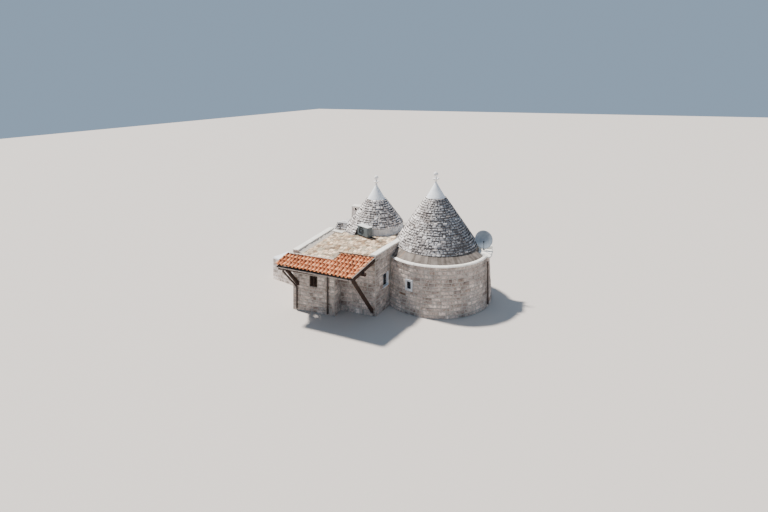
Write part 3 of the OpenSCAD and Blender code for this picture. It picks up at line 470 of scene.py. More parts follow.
def plate(stones, put, u, w, z, tone, rng, soft=0.010, wear=0.003, columns=3):
    """A slab with eased edges and an uneven top; u, w and z are its limits along, across and up."""
    (u0, u1), (w0, w1), (z0, z1) = u, w, z
    soft = min(soft, (u1 - u0) * 0.3, (w1 - w0) * 0.3, (z1 - z0) * 0.6)
    along = [u0, u0 + soft, *[u0 + (u1 - u0) * k / columns for k in range(1, columns)], u1 - soft, u1]
    across = [w0, w0 + soft, (w0 + w1) / 2, w1 - soft, w1]
    n, m = len(along), len(across)
    points = []
    for c, a in enumerate(along):
        for r, b in enumerate(across):
            border = c in (0, n - 1) or r in (0, m - 1)
            corner = c in (0, n - 1) and r in (0, m - 1)
            drop = (soft * (1.3 if corner else 1) if border else 0) + rng.uniform(0, wear)
            points.append(put(a + rng.uniform(-wear, wear) * border, b + rng.uniform(-wear, wear) * border,
                              z1 - drop))
    rim = [c * m for c in range(n)] + [(n - 1) * m + r for r in range(1, m)]
    rim += [c * m + m - 1 for c in range(n - 2, -1, -1)] + [r for r in range(m - 2, 0, -1)]
    points += [put(along[i // m], across[i % m], z0) for i in rim]
    low, k = n * m, len(rim)
    sides = [(rim[i], low + i, low + (i + 1) % k, rim[(i + 1) % k]) for i in range(k)]
    stones.add(points, grid_faces(n, m) + sides + [tuple(range(low + k - 1, low - 1, -1))], tone)


def ring(centre):
    """Places by direction in degrees, distance from a cell's axis, and height."""
    return lambda a, r, z: Vector((centre[0] + r * math.cos(math.radians(a)),
                                   centre[1] + r * math.sin(math.radians(a)), z))


def cream_tone(rng):
    return (rng.gauss(0.6, 0.13), rng.uniform(0, 0.22), rng.random())


cream_stone = stone_finish("cream stone", (0.99, 0.97, 0.92), (0.82, 0.78, 0.72), (0.60, 0.52, 0.43), 0.35,
                           stain=0.2)
ledge_slabs = Masonry()
rng = random.Random(51)
for i in range(first_slab, last_slab + 1):
    start = coping_from + i * coping_turn + coping_gap
    stop = coping_from + (i + 1) * coping_turn - coping_gap
    inner, outer = (SHOULDER_R, DRUM_COPING_R) if i < level_slab else (LEVEL_R, LEVEL_OUT_R)
    plate(ledge_slabs, ring(MAIN), (start, stop), (inner, outer + rng.uniform(-0.012, 0.020)),
          (COPING_Z, LEDGE_Z + rng.uniform(-0.003, 0.003)), cream_tone(rng), rng,
          soft=0.05, wear=0.004, columns=5)
plate(ledge_slabs, lambda r, a, z: ring(MAIN)(a, r, z), (LEVEL_R + 0.02, LEVEL_OUT_R),
      (kerb_end - kerb_turn, kerb_end), (LEDGE_Z - 0.01, LEDGE_Z + 0.155), (0.95, 0, 0.5), rng,
      soft=0.03, wear=0.022, columns=9)
ledge_slabs.finish("main_coping_slabs", cream_stone, "limewashed_stone", replaces=["main_coping"],
                   closed=True)

# Lime plaster covers the shoulder between the ledge and the cone's foot, and the ring under the rear cone. It
# was floated by hand, with rust and soot drips down the slope; the shoulder's dark grey-brown base and the
# ring's blue-grey are painted shade.
plaster, node, link, where = shader("lime plaster", 0.92, 0.2)
flat_way = node("VectorMath", {0: where, 1: (1, 1, 0)}, operation="MULTIPLY").outputs["Vector"]
from_axis = node("VectorMath", {0: flat_way, 1: (*MAIN, 0)}, operation="SUBTRACT").outputs["Vector"]
way = node("VectorMath", {0: from_axis}, operation="NORMALIZE").outputs["Vector"]
drip = node("TexNoise", {"Vector": way, "Scale": 13.0, "Detail": 5.0, "Roughness": 0.65}).outputs["Fac"]
# The shoulder plaster's dark grey-brown base is painted shade; the streaks and rust are drips.
base = ramp(node, grain(node, where, 3.2), [(0.30, (0.125, 0.105, 0.092)), (0.70, (0.27, 0.235, 0.21))])
streak = ramp(node, drip, [(0.40, (0.52, 0.50, 0.48)), (0.54, (1.10, 1.08, 1.06))])
base = mix(node, 0.8, base, streak, "MULTIPLY")
rust_mask = ramp(node, drip, [(0.62, (0, 0, 0)), (0.70, (0.75, 0.75, 0.75))])
link(mix(node, rust_mask, base, (0.34, 0.19, 0.11, 1)), "Base Color")
bump(node, link, grain(node, where, 24, 8), 0.35, 0.008)
dress(plaster, "main_ledge")
# The pale plaster's blue-grey is painted shade, on the rear ring and on the small window's surround.
pale_plaster = two_tone("pale lime plaster", 0.9, 0.25, (2.6,), (0.50, 0.53, 0.57), (0.74, 0.76, 0.79),
                        (24, 8), (0.35, 0.008), runs=(0.8, (7, 5, (5, 5, 0.5)),
                                                      (0.34, (0.74, 0.73, 0.72)), (0.54, (1.03, 1.03, 1.03))))
dress(pale_plaster, "rear_ring", "window_surround")

# Both caps and their finials are stone under many coats of limewash, brushed on each year. The
# wash is chalky white, with faint brush marks and grey where rain runs off the balls.
limewash = two_tone("limewash", 0.75, 0.3, (4.0,), (0.78, 0.81, 0.86), (0.93, 0.95, 0.97),
                    (30, 6, (1, 1, 0.3)), (0.25, 0.006), (0.30, 0.65),
                    (0.6, (5.0, 5, (6, 6, 0.5)), (0.30, (0.80, 0.81, 0.82)), (0.50, (1, 1, 1))))
dress(limewash, "main_cap", "rear_cap")
finial = two_tone("weathered finial stone", 0.9, 0.25, (9, 7), (0.68, 0.66, 0.65), (0.97, 0.96, 0.95),
                  (60, 6), (0.5, 0.004), (0.30, 0.55))
dress(finial, "main_pinnacle", "rear_pinnacle")

# The flat roof is paved with sawn beige slabs in rows along the facade, bedded in lime with thin
# joints. Their colours run from cream to tan, and lichen has dulled them in patches.
ROOF_Z, SLAB_GAP, SLAB_RISE = 2.5, 0.012, 0.013
paving_back, paving_right, behind_from = 3.82, 1.648, 1.5
main_cone_clear, rear_cone_clear = 1.84, 1.32
paving = Masonry()
rng = random.Random(61)
paving_stone = stone_finish("paving stone", (0.98, 0.79, 0.59), (0.22, 0.16, 0.11), (0.54, 0.35, 0.20), 0.3,
                            (0.42, 0.38, 0.29), 0.80)
inside_left, side_lean = LEFT_X + 0.26, SIDE[0] / SIDE[1]
rows = [0.0, 0.21, 0.40, 0.60]
while rows[-1] < BLOCK_D:
    rows.append(rows[-1] + rng.uniform(0.17, 0.26))
rows[-1] = BLOCK_D
rows.append(paving_back)
for y0, y1 in zip(rows, rows[1:]):
    x = inside_left if y0 < BLOCK_D else behind_from
    x_end = STEP_X if y1 < STEP_D + 0.01 else paving_right + (y0 - STEP_D) * side_lean
    while x < x_end - 0.02:
        x1 = x + rng.uniform(0.11, 0.30)
        if x_end - x1 < 0.12:
            x1 = x_end
        middle = plan((x + x1) / 2, (y0 + y1) / 2).xy
        from_main, from_rear = (middle - Vector(MAIN)).length, (middle - Vector(REAR)).length
        if from_main > main_cone_clear and from_rear > rear_cone_clear:
            top = ROOF_Z + SLAB_RISE + rng.uniform(-0.003, 0.004)
            tone = (rng.choice((0.15, 0.45, 0.75, 0.95, 1.05)), rng.choice((0, 0.1, 0.2, 0.5)), rng.random())
            plate(paving, plan, (x + SLAB_GAP, x1 - SLAB_GAP), (y0 + SLAB_GAP, y1 - SLAB_GAP),
                  (ROOF_Z, top), tone, rng, soft=0.012, wear=0.003)
        x = x1
paving.finish("roof_paving", paving_stone, "roof_paving", closed=True)
roof_bed = two_tone("dirty roof mortar and painted shade", 0.95, 0.15, (6,), (0.15, 0.12, 0.09), (0.40, 0.33, 0.26),
                    (90, 4), (0.5, 0.004))
dress(roof_bed, "flat_roof")

# Coping slabs of the same cream stone cap the parapets on both sides of the flat roof, bedded
# level with a small lip over each face. The right run dies into the main cone.
COPING_W, COPING_T, LIP = 0.28, 0.062, 0.02
LEFT_RUN, RIGHT_RUN = 3.52, 2.46
plain = (0.5, 0, 0.5)
parapet_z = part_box("block_coping")[0][2]
caps = Masonry()
rng = random.Random(71)
left_edge = plan(LEFT_X - LIP, 0)


def along_side(u, w, z):
    """Places along the skewed wall from the front corner, in from its face."""
    return plan(CORNER[0] + SIDE[0] * u - SIDE[1] * w, CORNER[1] + SIDE[1] * u + SIDE[0] * w, z)


def cap_parapet(put, across, stop, length, shortest, longest):
    """Slabs of random length as far as stop; the last one ends at the run's length."""
    cuts = [0.0]
    while cuts[-1] < stop:
        cuts.append(cuts[-1] + rng.uniform(shortest, longest))
    cuts[-1] = length
    for a, b in zip(cuts, cuts[1:]):
        top = parapet_z + COPING_T + rng.uniform(-0.003, 0.003)
        plate(caps, put, (a + 0.003, b - 0.003), across, (parapet_z, top), cream_tone(rng), rng, soft=0.012)


def mortar_run(part, place, length, outline, tone=plain, step=0.05):
    """Mortar pressed in by hand: the outline's across and up points, carried along by place."""
    n, m = max(2, round(length / step)), len(outline)
    points = []
    for i in range(n + 1):
        swell = rng.uniform(0.85, 1.15)
        points += [place(length * i / n, w * swell, h * swell) for w, h in outline]
    faces = grid_faces(n + 1, m) + [tuple(range(m)), tuple(range(n * m + m - 1, n * m - 1, -1))]
    faces += [(i * m, (i + 1) * m, (i + 1) * m + m - 1, i * m + m - 1) for i in range(n)]
    part.add(points, faces, tone)


cap_parapet(lambda u, w, z: Vector((left_edge.x + w, left_edge.y + u, z)), (0, COPING_W),
            LEFT_RUN, LEFT_RUN, 0.55, 0.85)
cap_parapet(along_side, (-LIP, COPING_W - LIP), RIGHT_RUN - 0.04, RIGHT_RUN, 0.50, 0.70)
mortar_run(caps, lambda u, w, h: plan(inside_left - 0.01 + w, 0.02 + u, ROOF_Z + h), 3.476,
           ((0, 0), (0, 0.125), (0.04, 0.095), (0.19, 0.012), (0.19, 0)), (0.1, 0.6, 0.5), step=0.10)
caps.finish("parapet_coping_slabs", cream_stone, "limewashed_stone", replaces=["block_coping"], closed=True)

# Beside the rear cell the roof steps up in four dry-laid courses over a first that is level with
# it, each set back a thumb's width, with slabs laid flat on top. Stones also run down from the rear
# cone over its plastered ring.
steps = Masonry()
rng = random.Random(81)
STEP_IN, STEP_TURN, STEPS_AT, STEPS_END = 0.03, math.radians(22), 3.79, 5.6
WALL_REACH, TOP_REACH, TOP_ROW = 1.856, 1.46, 0.262
lay_z = [BAY_TOP, ROOF_Z] + [REAR_FOOT_Z - k * ROOF_COURSE for k in (3, 2, 1, 0)]
SKIRT = [REAR_FOOT_R + k * ROOF_COURSE * REAR_FOOT_R / REAR_RISE for k in range(5)]
rear_x, rear_y = REAR[0] - SET_X, REAR[1] - SET_Y


def slab_row(put, length, z0, z1, seed):
    row = random.Random(seed)
    u = 0
    while u < length - 0.03:
        u_next = min(length, u + row.uniform(0.15, 0.36))
        if length - u_next < 0.08:
            u_next = length
        gap = row.uniform(0.003, 0.007)
        tone = (row.gauss(0.95, 0.12), row.uniform(0, 0.1), 0.5)
        roof_slab(steps, put, u + gap, u_next - gap, z1 - z0, 0.06, row, tone)
        u = u_next


for i, (z0, z1) in enumerate(zip(lay_z, lay_z[1:])):
    reach = SKIRT[5 - i] if i else WALL_REACH
    front_y, left_x = STEPS_AT + i * STEP_IN, BAY_X + i * STEP_IN
    slab_row(straight(left_x, front_y, 0, front_y, z0),
             rear_x - left_x - math.sqrt(max(0, reach ** 2 - (rear_y - front_y) ** 2)), z0, z1, 82 + i)
    back_x, back_y = left_x, front_y
    while math.hypot(rear_x - back_x, rear_y - back_y) > reach and back_y < STEPS_END:
        back_y += 0.02
        back_x = left_x + (back_y - front_y) * math.tan(STEP_TURN)
    slab_row(straight(back_x, back_y, left_x, front_y, z0),
             math.hypot(back_x - left_x, back_y - front_y), z0, z1, 92 + i)
for row_y in (3.91, 4.18, 4.45, 4.72, 4.99):
    from_x = BAY_X + 0.12 + (row_y - 3.91) * math.tan(STEP_TURN)
    to_x = rear_x - math.sqrt(max(0, TOP_REACH ** 2 - (rear_y - row_y - 0.13) ** 2))
    if to_x - from_x > 0.12:
        top = 2.842 + rng.uniform(-0.004, 0.004)
        plate(steps, plan, (from_x, to_x), (row_y, row_y + TOP_ROW), (2.81, top),
              (rng.gauss(0.6, 0.15), 0.1, rng.random()), rng, soft=0.012, wear=0.005)
for k in range(1, 5):
    z0, z1 = max(ROOF_Z, REAR_FOOT_Z - k * ROOF_COURSE), REAR_FOOT_Z - (k - 1) * ROOF_COURSE
    slab_row(round_wall(REAR, SKIRT[k], 165, z0=z0), math.radians(85) * SKIRT[k], z0, z1, 100 + k)
steps.finish("stepped_roof_slabs", roof_stone, "roof_stone")
dress(joints, "stepped_roof")

# The canopy is roofed with fired clay barrel tiles laid dry: hollow ones on the boards carry the
# rain down to the gutter, and tapered covers lap over their edges. A mortared row of covers closes
# the skewed right verge.
PITCH = math.radians(8.4)
CROWN_Z, EAVE_Y, CANOPY_LEFT = 2.522, -1.19, LEFT_X - 0.20
EAVE_TURN, EAVE_END = math.radians(3.2), CORNER[0] - (STEP_D - EAVE_Y) * side_lean
TILE_PITCH, TILE_SHOWS, TILE_LENGTH = 0.183, 0.32, 0.42
COVER_R, HOLLOW_R, TILE_T = (0.075, 0.063), (0.070, 0.080), 0.011


def on_slope(x, up, h):
    """A place on the canopy: along the facade, up the slope from the eave, and off the crowns' plane."""
    return plan(x, EAVE_Y + up * math.cos(PITCH) - h * math.sin(PITCH),
                CROWN_Z + EAVE_Y * math.tan(PITCH) + up * math.sin(PITCH) + h * math.cos(PITCH))


def eave_up(x):
    """How far up the slope the eave lies at a place along the facade: it turns in to the left."""
    return (EAVE_END - x) * math.tan(EAVE_TURN) / math.cos(PITCH)


def top_up(x):
    return ((STEP_D if x > STEP_X else 0) - EAVE_Y) / math.cos(PITCH)


def verge_at(up):
    return CORNER[0] + (EAVE_Y + up * math.cos(PITCH) - STEP_D) * side_lean


def barrel_tile(tiles, middle, up0, up1, radii, lifts, hollow, tone, rng):
    """One tapered half-round tile: its lower and upper radius, and how high its back or belly lies."""
    points, tones, faces = [], [], []
    twist, open_up = rng.uniform(-0.006, 0.006), 82
    # Painted light along each tile: its lower end is painted lighter as a highlight, and its upper part,
    # under the next tile, is painted darker as shade.
    for t, painted_light_and_shade in ((0, 0.36), (0.06, 0.30), (0.30, 0.05), (0.55, -0.10), (0.74, -0.48), (1, -0.5)):
        up = up0 + (up1 - up0) * t
        r = radii[0] + (radii[1] - radii[0]) * t
        lift = lifts[0] + (lifts[1] - lifts[0]) * t
        for shell in (0, TILE_T):
            for step in range(9):
                a = math.radians(-open_up + 2 * open_up * step / 8)
                across = (r - shell) * math.sin(a)
                h = lift + r - (r - shell) * math.cos(a) if hollow else lift - r + (r - shell) * math.cos(a)
                points.append(on_slope(middle(up) + twist * t + across, up, h))
                # The inside of the tile's lower mouth is painted darker still, as shade.
                tones.append((tone[0] + painted_light_and_shade - (0.5 if shell and t == 0 else 0), tone[1], tone[2]))
    for k in range(5):
        faces += [(k * 18 + s + step, k * 18 + s + step + 1, k * 18 + s + step + 19, k * 18 + s + step + 18)
                  for s in (0, 9) for step in range(8)]
        faces += [(k * 18 + a, k * 18 + b, k * 18 + b + 18, k * 18 + a + 18) for a, b in ((0, 9), (8, 17))]
    faces += [(k + step, k + step + 1, k + step + 10, k + step + 9) for k in (0, 90) for step in range(8)]
    tiles.add(points, faces, tones)


clay, node, link, where = shader("fired clay", 0.85, 0.25)
parts = node("SeparateColor", {"Color": node("Attribute", attribute_name="tone").outputs["Color"]}).outputs
# The darkest clay colour is where the painted shade on the tiles falls.
burnt_and_painted_shade, fired, pale = (0.085, 0.025, 0.012), (0.54, 0.165, 0.062), (0.88, 0.42, 0.21)
base = ramp(node, parts["Red"], [(0.02, burnt_and_painted_shade), (0.42, fired), (0.85, pale)])
patch = ramp(node, grain(node, where, 6, 7), [(0.34, (0.62, 0.58, 0.56)), (0.58, (1.05, 1.03, 1.0))])
base = mix(node, 0.7, base, patch, "MULTIPLY")
lichen_and_painted_shade = ramp(node, grain(node, where, 38, 6), [(0.60, (0, 0, 0)), (0.68, (0.5, 0.5, 0.5))])
base = mix(node, lichen_and_painted_shade, base, (0.62, 0.50, 0.38, 1))
link(base, "Base Color")
bump(node, link, grain(node, where, 55, 8), 0.4, 0.004)

tiles = Masonry()
rng = random.Random(111)
BELLY, VERGE_IN = -0.088, 0.083
TILE_LINES = 22
for i in range(TILE_LINES):
    x = CANOPY_LEFT + TILE_PITCH * i - 0.04
    for hollow in (True, False):
        mid_x = x + (TILE_PITCH / 2 if hollow else 0)
        top_here = top_up(mid_x)
        up = eave_up(mid_x) - (0.02 if hollow else 0.0)
        while up < top_here - 0.05:
            up1 = min(up + TILE_LENGTH, top_here - 0.004)
            if mid_x < verge_at(up) - (0.04 if hollow else 0.16):
                # Hollow tiles are painted darker than the covers: painted shade in the valleys.
                tone = (rng.gauss(0.52, 0.17) - (0.12 if hollow else 0), 0, rng.random())
                line, rock = mid_x + rng.uniform(-0.004, 0.004), rng.uniform(-0.002, 0.002)
                lifts = (BELLY + 0.012 + rock, BELLY) if hollow else (rock, -0.034)
                barrel_tile(tiles, lambda u: line, up, up1, HOLLOW_R if hollow else COVER_R, lifts,
                            hollow, tone, rng)
            up += TILE_SHOWS
up, top_here = 0.0, top_up(CORNER[0])
while up < top_here - 0.05:
    barrel_tile(tiles, lambda u: verge_at(u) - VERGE_IN, up, min(up + TILE_LENGTH, top_here - 0.004),
                COVER_R, (0.006, -0.026), False, (rng.gauss(0.60, 0.12), 0, rng.random()), rng)
    up += TILE_SHOWS
tiles.finish("canopy_barrel_tiles", clay, "terracotta", replaces=["canopy_tiles"], closed=True)

# Lime mortar beds the verge tiles and fills the joint where the tiles meet the walls. Behind the
# upper tiles it is drawn down to the paving in a sloping haunch, floated off with a trowel.
fillet = two_tone("pale mortar", 0.95, 0.2, (14,), (0.52, 0.44, 0.38), (0.76, 0.68, 0.60),
                  (60,), (0.5, 0.005))
bedding = Masonry()
rng = random.Random(121)


def roll(width, height):
    """The outline of a hand-pressed roll of mortar."""
    return [(-math.cos(math.pi * k / 6) * width / 2, math.sin(math.pi * k / 6) * height) for k in range(7)]


top_right, top_left = top_up(CORNER[0]), top_up(0)
mortar_run(bedding, lambda u, w, h: on_slope(verge_at(u) - 0.012 + w, u, -0.062 + h), top_right,
           roll(0.030, 0.034))
mortar_run(bedding, lambda u, w, h: on_slope(CANOPY_LEFT + 0.05 + u, top_left + w - 0.03, -0.035 + h),
           STEP_X - CANOPY_LEFT - 0.06, roll(0.08, 0.028))
# The haunches take the dark roof mortar; on them its dark colour is painted shade.
haunches = Masonry()
haunch = ((0, 0), (0, 0.104), (0.045, 0.100), (0.10, 0.055), (0.19, 0.012), (0.19, 0))
mortar_run(haunches, lambda u, w, h: plan(STEP_X - 0.06 + u, STEP_D - 0.045 + w, ROOF_Z + h),
           CORNER[0] - STEP_X - 0.20, haunch)
mortar_run(haunches, lambda u, w, h: plan(STEP_X + 0.045 - w, 0.02 + u, ROOF_Z + h * (0.25 + 1.3 * u)),
           STEP_D - 0.02, haunch)
bedding.finish("tile_bedding_mortar", fillet, "lime_plaster", closed=True)
haunches.finish("tile_haunch_mortar", roof_bed, "lime_plaster", closed=True)

# The canopy's frame is sawn softwood under a dark brown stain: rafters and verge boards run down
# the slope, beams run along it, and two struts prop the eave beam. The stain has worn on arrises.


def stained_timber(name, grain_way):
    """Stained softwood whose fibre runs the way that grain_way stretches least."""
    material, node, link, where = shader(name, 0.7, 0.3)
    fibre = grain(node, where, 9, 8, grain_way)
    worn = (0.090, 0.048, 0.030)
    base = ramp(node, fibre, [(0.30, (0.016, 0.008, 0.006)), (0.55, (0.044, 0.022, 0.014)), (0.75, worn)])
    bleach = ramp(node, grain(node, where, 2.2), [(0.40, (0.8, 0.8, 0.8)), (0.70, (1.35, 1.28, 1.2))])
    link(mix(node, 0.7, base, bleach, "MULTIPLY"), "Base Color")
    bump(node, link, fibre, 0.45, 0.004)
    return material


timber_down = stained_timber("stained timber down the slope", (7, 0.7, 5))
timber_along = stained_timber("stained timber along the eave", (0.7, 7, 7))
timber_up = stained_timber("stained timber upright", (8, 8, 0.7))
dress(timber_down, "canopy_boards", "canopy_verges", "canopy_rafters", "canopy_struts")
dress(timber_along, "canopy_beams")

# The half-round gutter and the three downpipes are dark brown coated sheet. The gutter has a
# rolled front bead, stop ends and bent straps, and each pipe is held by clips on short stems.
brown_sheet, node, link, where = shader("brown coated sheet", 0.42, 0.5)
base = ramp(node, grain(node, where, 7), [(0.3, (0.030, 0.018, 0.014)), (0.7, (0.058, 0.035, 0.027))])
dust = ramp(node, grain(node, where, 26, 8), [(0.55, (0, 0, 0)), (0.75, (0.25, 0.25, 0.25))])
link(mix(node, dust, base, (0.24, 0.19, 0.15, 1)), "Base Color")
bump(node, link, grain(node, where, 18), 0.12, 0.004)
dress(brown_sheet, "downpipes", "air_unit_rails")
gutter_sheet_with_painted_shade, node, link, where = shader("gutter sheet with painted shade inside", 0.30, 0.6)
base = ramp(node, grain(node, where, 9), [(0.3, (0.26, 0.20, 0.18)), (0.7, (0.40, 0.34, 0.31))])
# Painted shade: the gutter's faces that look up, which form its inside, are painted nearly black.
facing = node("SeparateXYZ", {"Vector": node("NewGeometry").outputs["Normal"]}).outputs["Z"]
painted_inside_shade = ramp(node, facing, [(0.02, (0, 0, 0)), (0.12, (1, 1, 1))])
link(mix(node, painted_inside_shade, base, (0.022, 0.016, 0.013, 1)), "Base Color")
bump(node, link, grain(node, where, 18), 0.12, 0.004)
dress(gutter_sheet_with_painted_shade, "gutter")
GUTTER_R = 0.06
GUTTER_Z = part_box("gutter")[1][2]
gutter_length = (EAVE_END - CANOPY_LEFT) / math.cos(EAVE_TURN)
gutter_way = Vector((-math.cos(EAVE_TURN), math.sin(EAVE_TURN), 0))
gutter_back = Vector((math.sin(EAVE_TURN), math.cos(EAVE_TURN), 0))


def on_gutter(u, w, z):
    """Places on the gutter: from its right end along, back from its middle, and up from its rim."""
    return plan(EAVE_END, EAVE_Y, GUTTER_Z + z) + gutter_way * u + gutter_back * (w - 0.4 * GUTTER_R)


def swept(part, path, outline, tone=plain, closed_path=False):
    """A bar of the outline's cross-section along a path; outline points are (side, up) in metres."""
    n, m = len(path), len(outline)
    points = []
    for i, p in enumerate(path):
        before = path[i - 1] if i or closed_path else p
        after = path[(i + 1) % n] if i < n - 1 or closed_path else p
        way = (after - before).normalized()
        side = way.cross(Vector((0, 0, 1)))
        side = side.normalized() if side.length > 0.05 else way.cross(Vector((0, 1, 0))).normalized()
        up = side.cross(way)
        points += [p + side * a + up * b for a, b in outline]
    faces = [(i * m + k, ((i + 1) % n) * m + k, ((i + 1) % n) * m + (k + 1) % m, i * m + (k + 1) % m)
             for i in range(n if closed_path else n - 1) for k in range(m)]
    if not closed_path:
        faces += [tuple(range(m)), tuple(range((n - 1) * m + m - 1, (n - 1) * m - 1, -1))]
    part.add(points, faces, tone)


def circle(radius, count=10):
    turns = [2 * math.pi * k / count for k in range(count)]
    return [(radius * math.cos(a), radius * math.sin(a)) for a in turns]


def bar(width, height):
    return [(-width / 2, -height / 2), (width / 2, -height / 2), (width / 2, height / 2),
            (-width / 2, height / 2)]


def band(start, other, count):
    """Faces between two closed rings of points that start at those numbers."""
    return [(start + k, start + (k + 1) % count, other + (k + 1) % count, other + k) for k in range(count)]


def flat_piece(count):
    """Faces of a flat piece between two equal outlines of count points."""
    return [tuple(range(count)), tuple(range(2 * count - 1, count - 1, -1))] + band(0, count, count)


fittings = Masonry()
bead = 0.003 - GUTTER_R
swept(fittings, [on_gutter(0, bead, 0), on_gutter(gutter_length, bead, 0)], circle(0.008))
bow = [(math.cos(math.pi * k / 12), -math.sin(math.pi * k / 12)) for k in range(13)]
strap_count = 8
for i in range(strap_count):
    u = 0.12 + i * (gutter_length - 0.24) / (strap_count - 1)
    bend = [on_gutter(u, (GUTTER_R + 0.003) * w, (GUTTER_R + 0.003) * z) for w, z in bow]
    hook = [bend[-1] + Vector((0, 0.004, 0.014)), bend[-1] + Vector((0, 0.020, 0.012))]
    swept(fittings, [bend[0] + Vector((0, 0.004, 0.012)), *bend, *hook], bar(0.026, 0.004))
for u0, u1 in ((0, 0.003), (gutter_length - 0.003, gutter_length)):
    fittings.add([on_gutter(u, GUTTER_R * w, GUTTER_R * z) for u in (u0, u1) for w, z in bow],
                 flat_piece(13), plain)
PIPE_R, CLIP_R, FAR_PIPE_R, far_pipe_turn = 0.04, 0.043, 2.655, math.radians(-15)
pipe_1 = plan(-1.58, -0.055)
pipe_2 = plan(-0.055, -0.055)
far_pipe = Vector((MAIN[0] + FAR_PIPE_R * math.cos(far_pipe_turn),
                   MAIN[1] + FAR_PIPE_R * math.sin(far_pipe_turn), 0))
to_axis = (Vector((*MAIN, 0)) - far_pipe).normalized()
to_facade = Vector((0, 1, 0))
for foot, way, heights in ((pipe_1, to_facade, (0.25, 0.82)), (pipe_2, to_facade, (0.3, 1.2, 2.1)),
                           (far_pipe, to_axis, (0.35, 1.15, 1.95))):
    for z in heights:
        swept(fittings, [foot + Vector((x, y, z)) for x, y in circle(CLIP_R, 20)], bar(0.005, 0.024),
              closed_path=True)
        swept(fittings, [foot + way * PIPE_R + Vector((0, 0, z)), foot + way * 0.09 + Vector((0, 0, z))],
              circle(0.007, 8))
fittings.finish("gutter_and_pipe_fittings", brown_sheet, "brown_sheet", closed=True)

# Three small windows: stained shutters of narrow slats in the facade, and single glazed casements in the
# skewed wall and in the round wall. The window in the skewed wall has limewashed reveals and sill.
joinery, glass_panes, reveals = Masonry(), Masonry(), Masonry()
rng = random.Random(131)
SLAT_STEP = 0.026


def in_wall(origin, along):
    """Places in an opening from its lower left corner: along, into the wall, and up."""
    into = Vector((-along.y, along.x, 0))
    return lambda u, w, z: origin + along * u + into * w + Vector((0, 0, z))


def laid(put):
    """The same places with the plate's top turned to face out of the wall."""
    return lambda u, w, z: put(u, -z, w)


def casement(put, width, height, depth, slats, leaves=1, frame_w=0.042, sash_w=0.03):
    """A frame and its leaves, set in by depth: each leaf has narrow slats, or a pane and one bar."""
    face, top = laid(put), height - frame_w
    for u0, u1, z0, z1 in ((0, frame_w, 0, height), (width - frame_w, width, 0, height),
                           (frame_w, width - frame_w, 0, frame_w), (frame_w, width - frame_w, top, height)):
        plate(joinery, face, (u0, u1), (z0, z1), (-depth - 0.045, -depth), plain, rng, soft=0.005, wear=0.001)
    inner = (width - 2 * frame_w) / leaves
    for leaf in range(leaves):
        a = frame_w + leaf * inner
        edge, low, high = a + inner - sash_w, frame_w + sash_w, top - sash_w
        for u0, u1, z0, z1 in ((a, a + sash_w, frame_w, top), (edge, a + inner, frame_w, top),
                               (a + sash_w, edge, frame_w, low), (a + sash_w, edge, high, top)):
            plate(joinery, face, (u0, u1), (z0, z1), (-depth - 0.035, -depth + 0.006), plain, rng,
                  soft=0.004, wear=0.001)
        if slats:
            z = frame_w + 0.04
            while z < top - 0.05:
                plate(joinery, lambda u, w, v: put(u, depth + 0.008 + w * 0.75, z + v - w * 0.65),
                      (a + 0.028, a + inner - 0.028), (0, 0.030), (0, 0.006), plain, rng,
                      soft=0.002, wear=0.0005, columns=1)
                z += SLAT_STEP
        else:
            middle = frame_w + (height - 2 * frame_w) * 0.5
            plate(joinery, face, (a + sash_w, edge), (middle - 0.009, middle + 0.009),
                  (-depth - 0.030, -depth + 0.002), plain, rng, soft=0.003, wear=0.001)
            plate(glass_panes, face, (a + sash_w - 0.004, edge + 0.004), (low - 0.004, high + 0.004),
                  (-depth - 0.022, -depth - 0.016), plain, rng, soft=0.001, wear=0.0, columns=1)


def line_reveal(put, width, height, depth, proud=0.012, t=0.012):
    """Limewashed plaster on the sides, head and sill of an opening; t is its thickness."""
    for u0, u1, z0, z1 in ((0, t, 0, height), (width - t, width, 0, height), (0, width, height - t, height)):
        plate(reveals, put, (u0, u1), (0.002, depth), (z0, z1), plain, rng, soft=0.003, wear=0.001)
    plate(reveals, put, (-0.03, width + 0.03), (-proud, depth), (-0.02, t), plain, rng,
          soft=0.006, wear=0.002)


window_1 = in_wall(plan(facade_window_x, 0, facade_sill), Vector((1, 0, 0)))
casement(window_1, facade_window_w, facade_window_h, depth=0.03, slats=True, leaves=2)
side_way = Vector((*SIDE, 0))
window_2 = in_wall(plan(*CORNER, side_sill) + side_way * side_window_u, side_way)
casement(window_2, side_window_w, side_window_h, depth=0.13, slats=False)
line_reveal(window_2, side_window_w, side_window_h, depth=0.13)
out_way = Vector((math.cos(math.radians(window_turn)), math.sin(math.radians(window_turn)), 0))
band_way = Vector((-out_way.y, out_way.x, 0))
BAND_FACE_R, small_w, small_h, small_sill = 2.565, 0.20, 0.33, 1.09
window_3 = in_wall(Vector((*MAIN, small_sill)) + out_way * BAND_FACE_R - band_way * (small_w / 2), band_way)
casement(window_3, small_w, small_h, depth=0.05, slats=False, frame_w=0.014, sash_w=0.014)
joinery.finish("window_joinery", timber_up, "dark_timber", replaces=["window_shutters"], closed=True)
reveals.finish("window_reveals", limewash, "lime_plaster", closed=True)
pane = two_tone("dark glazing", 0.08, 0.5, (2,), (0.012, 0.018, 0.024), (0.035, 0.048, 0.062),
                (1.5,), (0.03, 0.01))
glass_panes.finish("window_panes", pane, "dark_timber", closed=True)

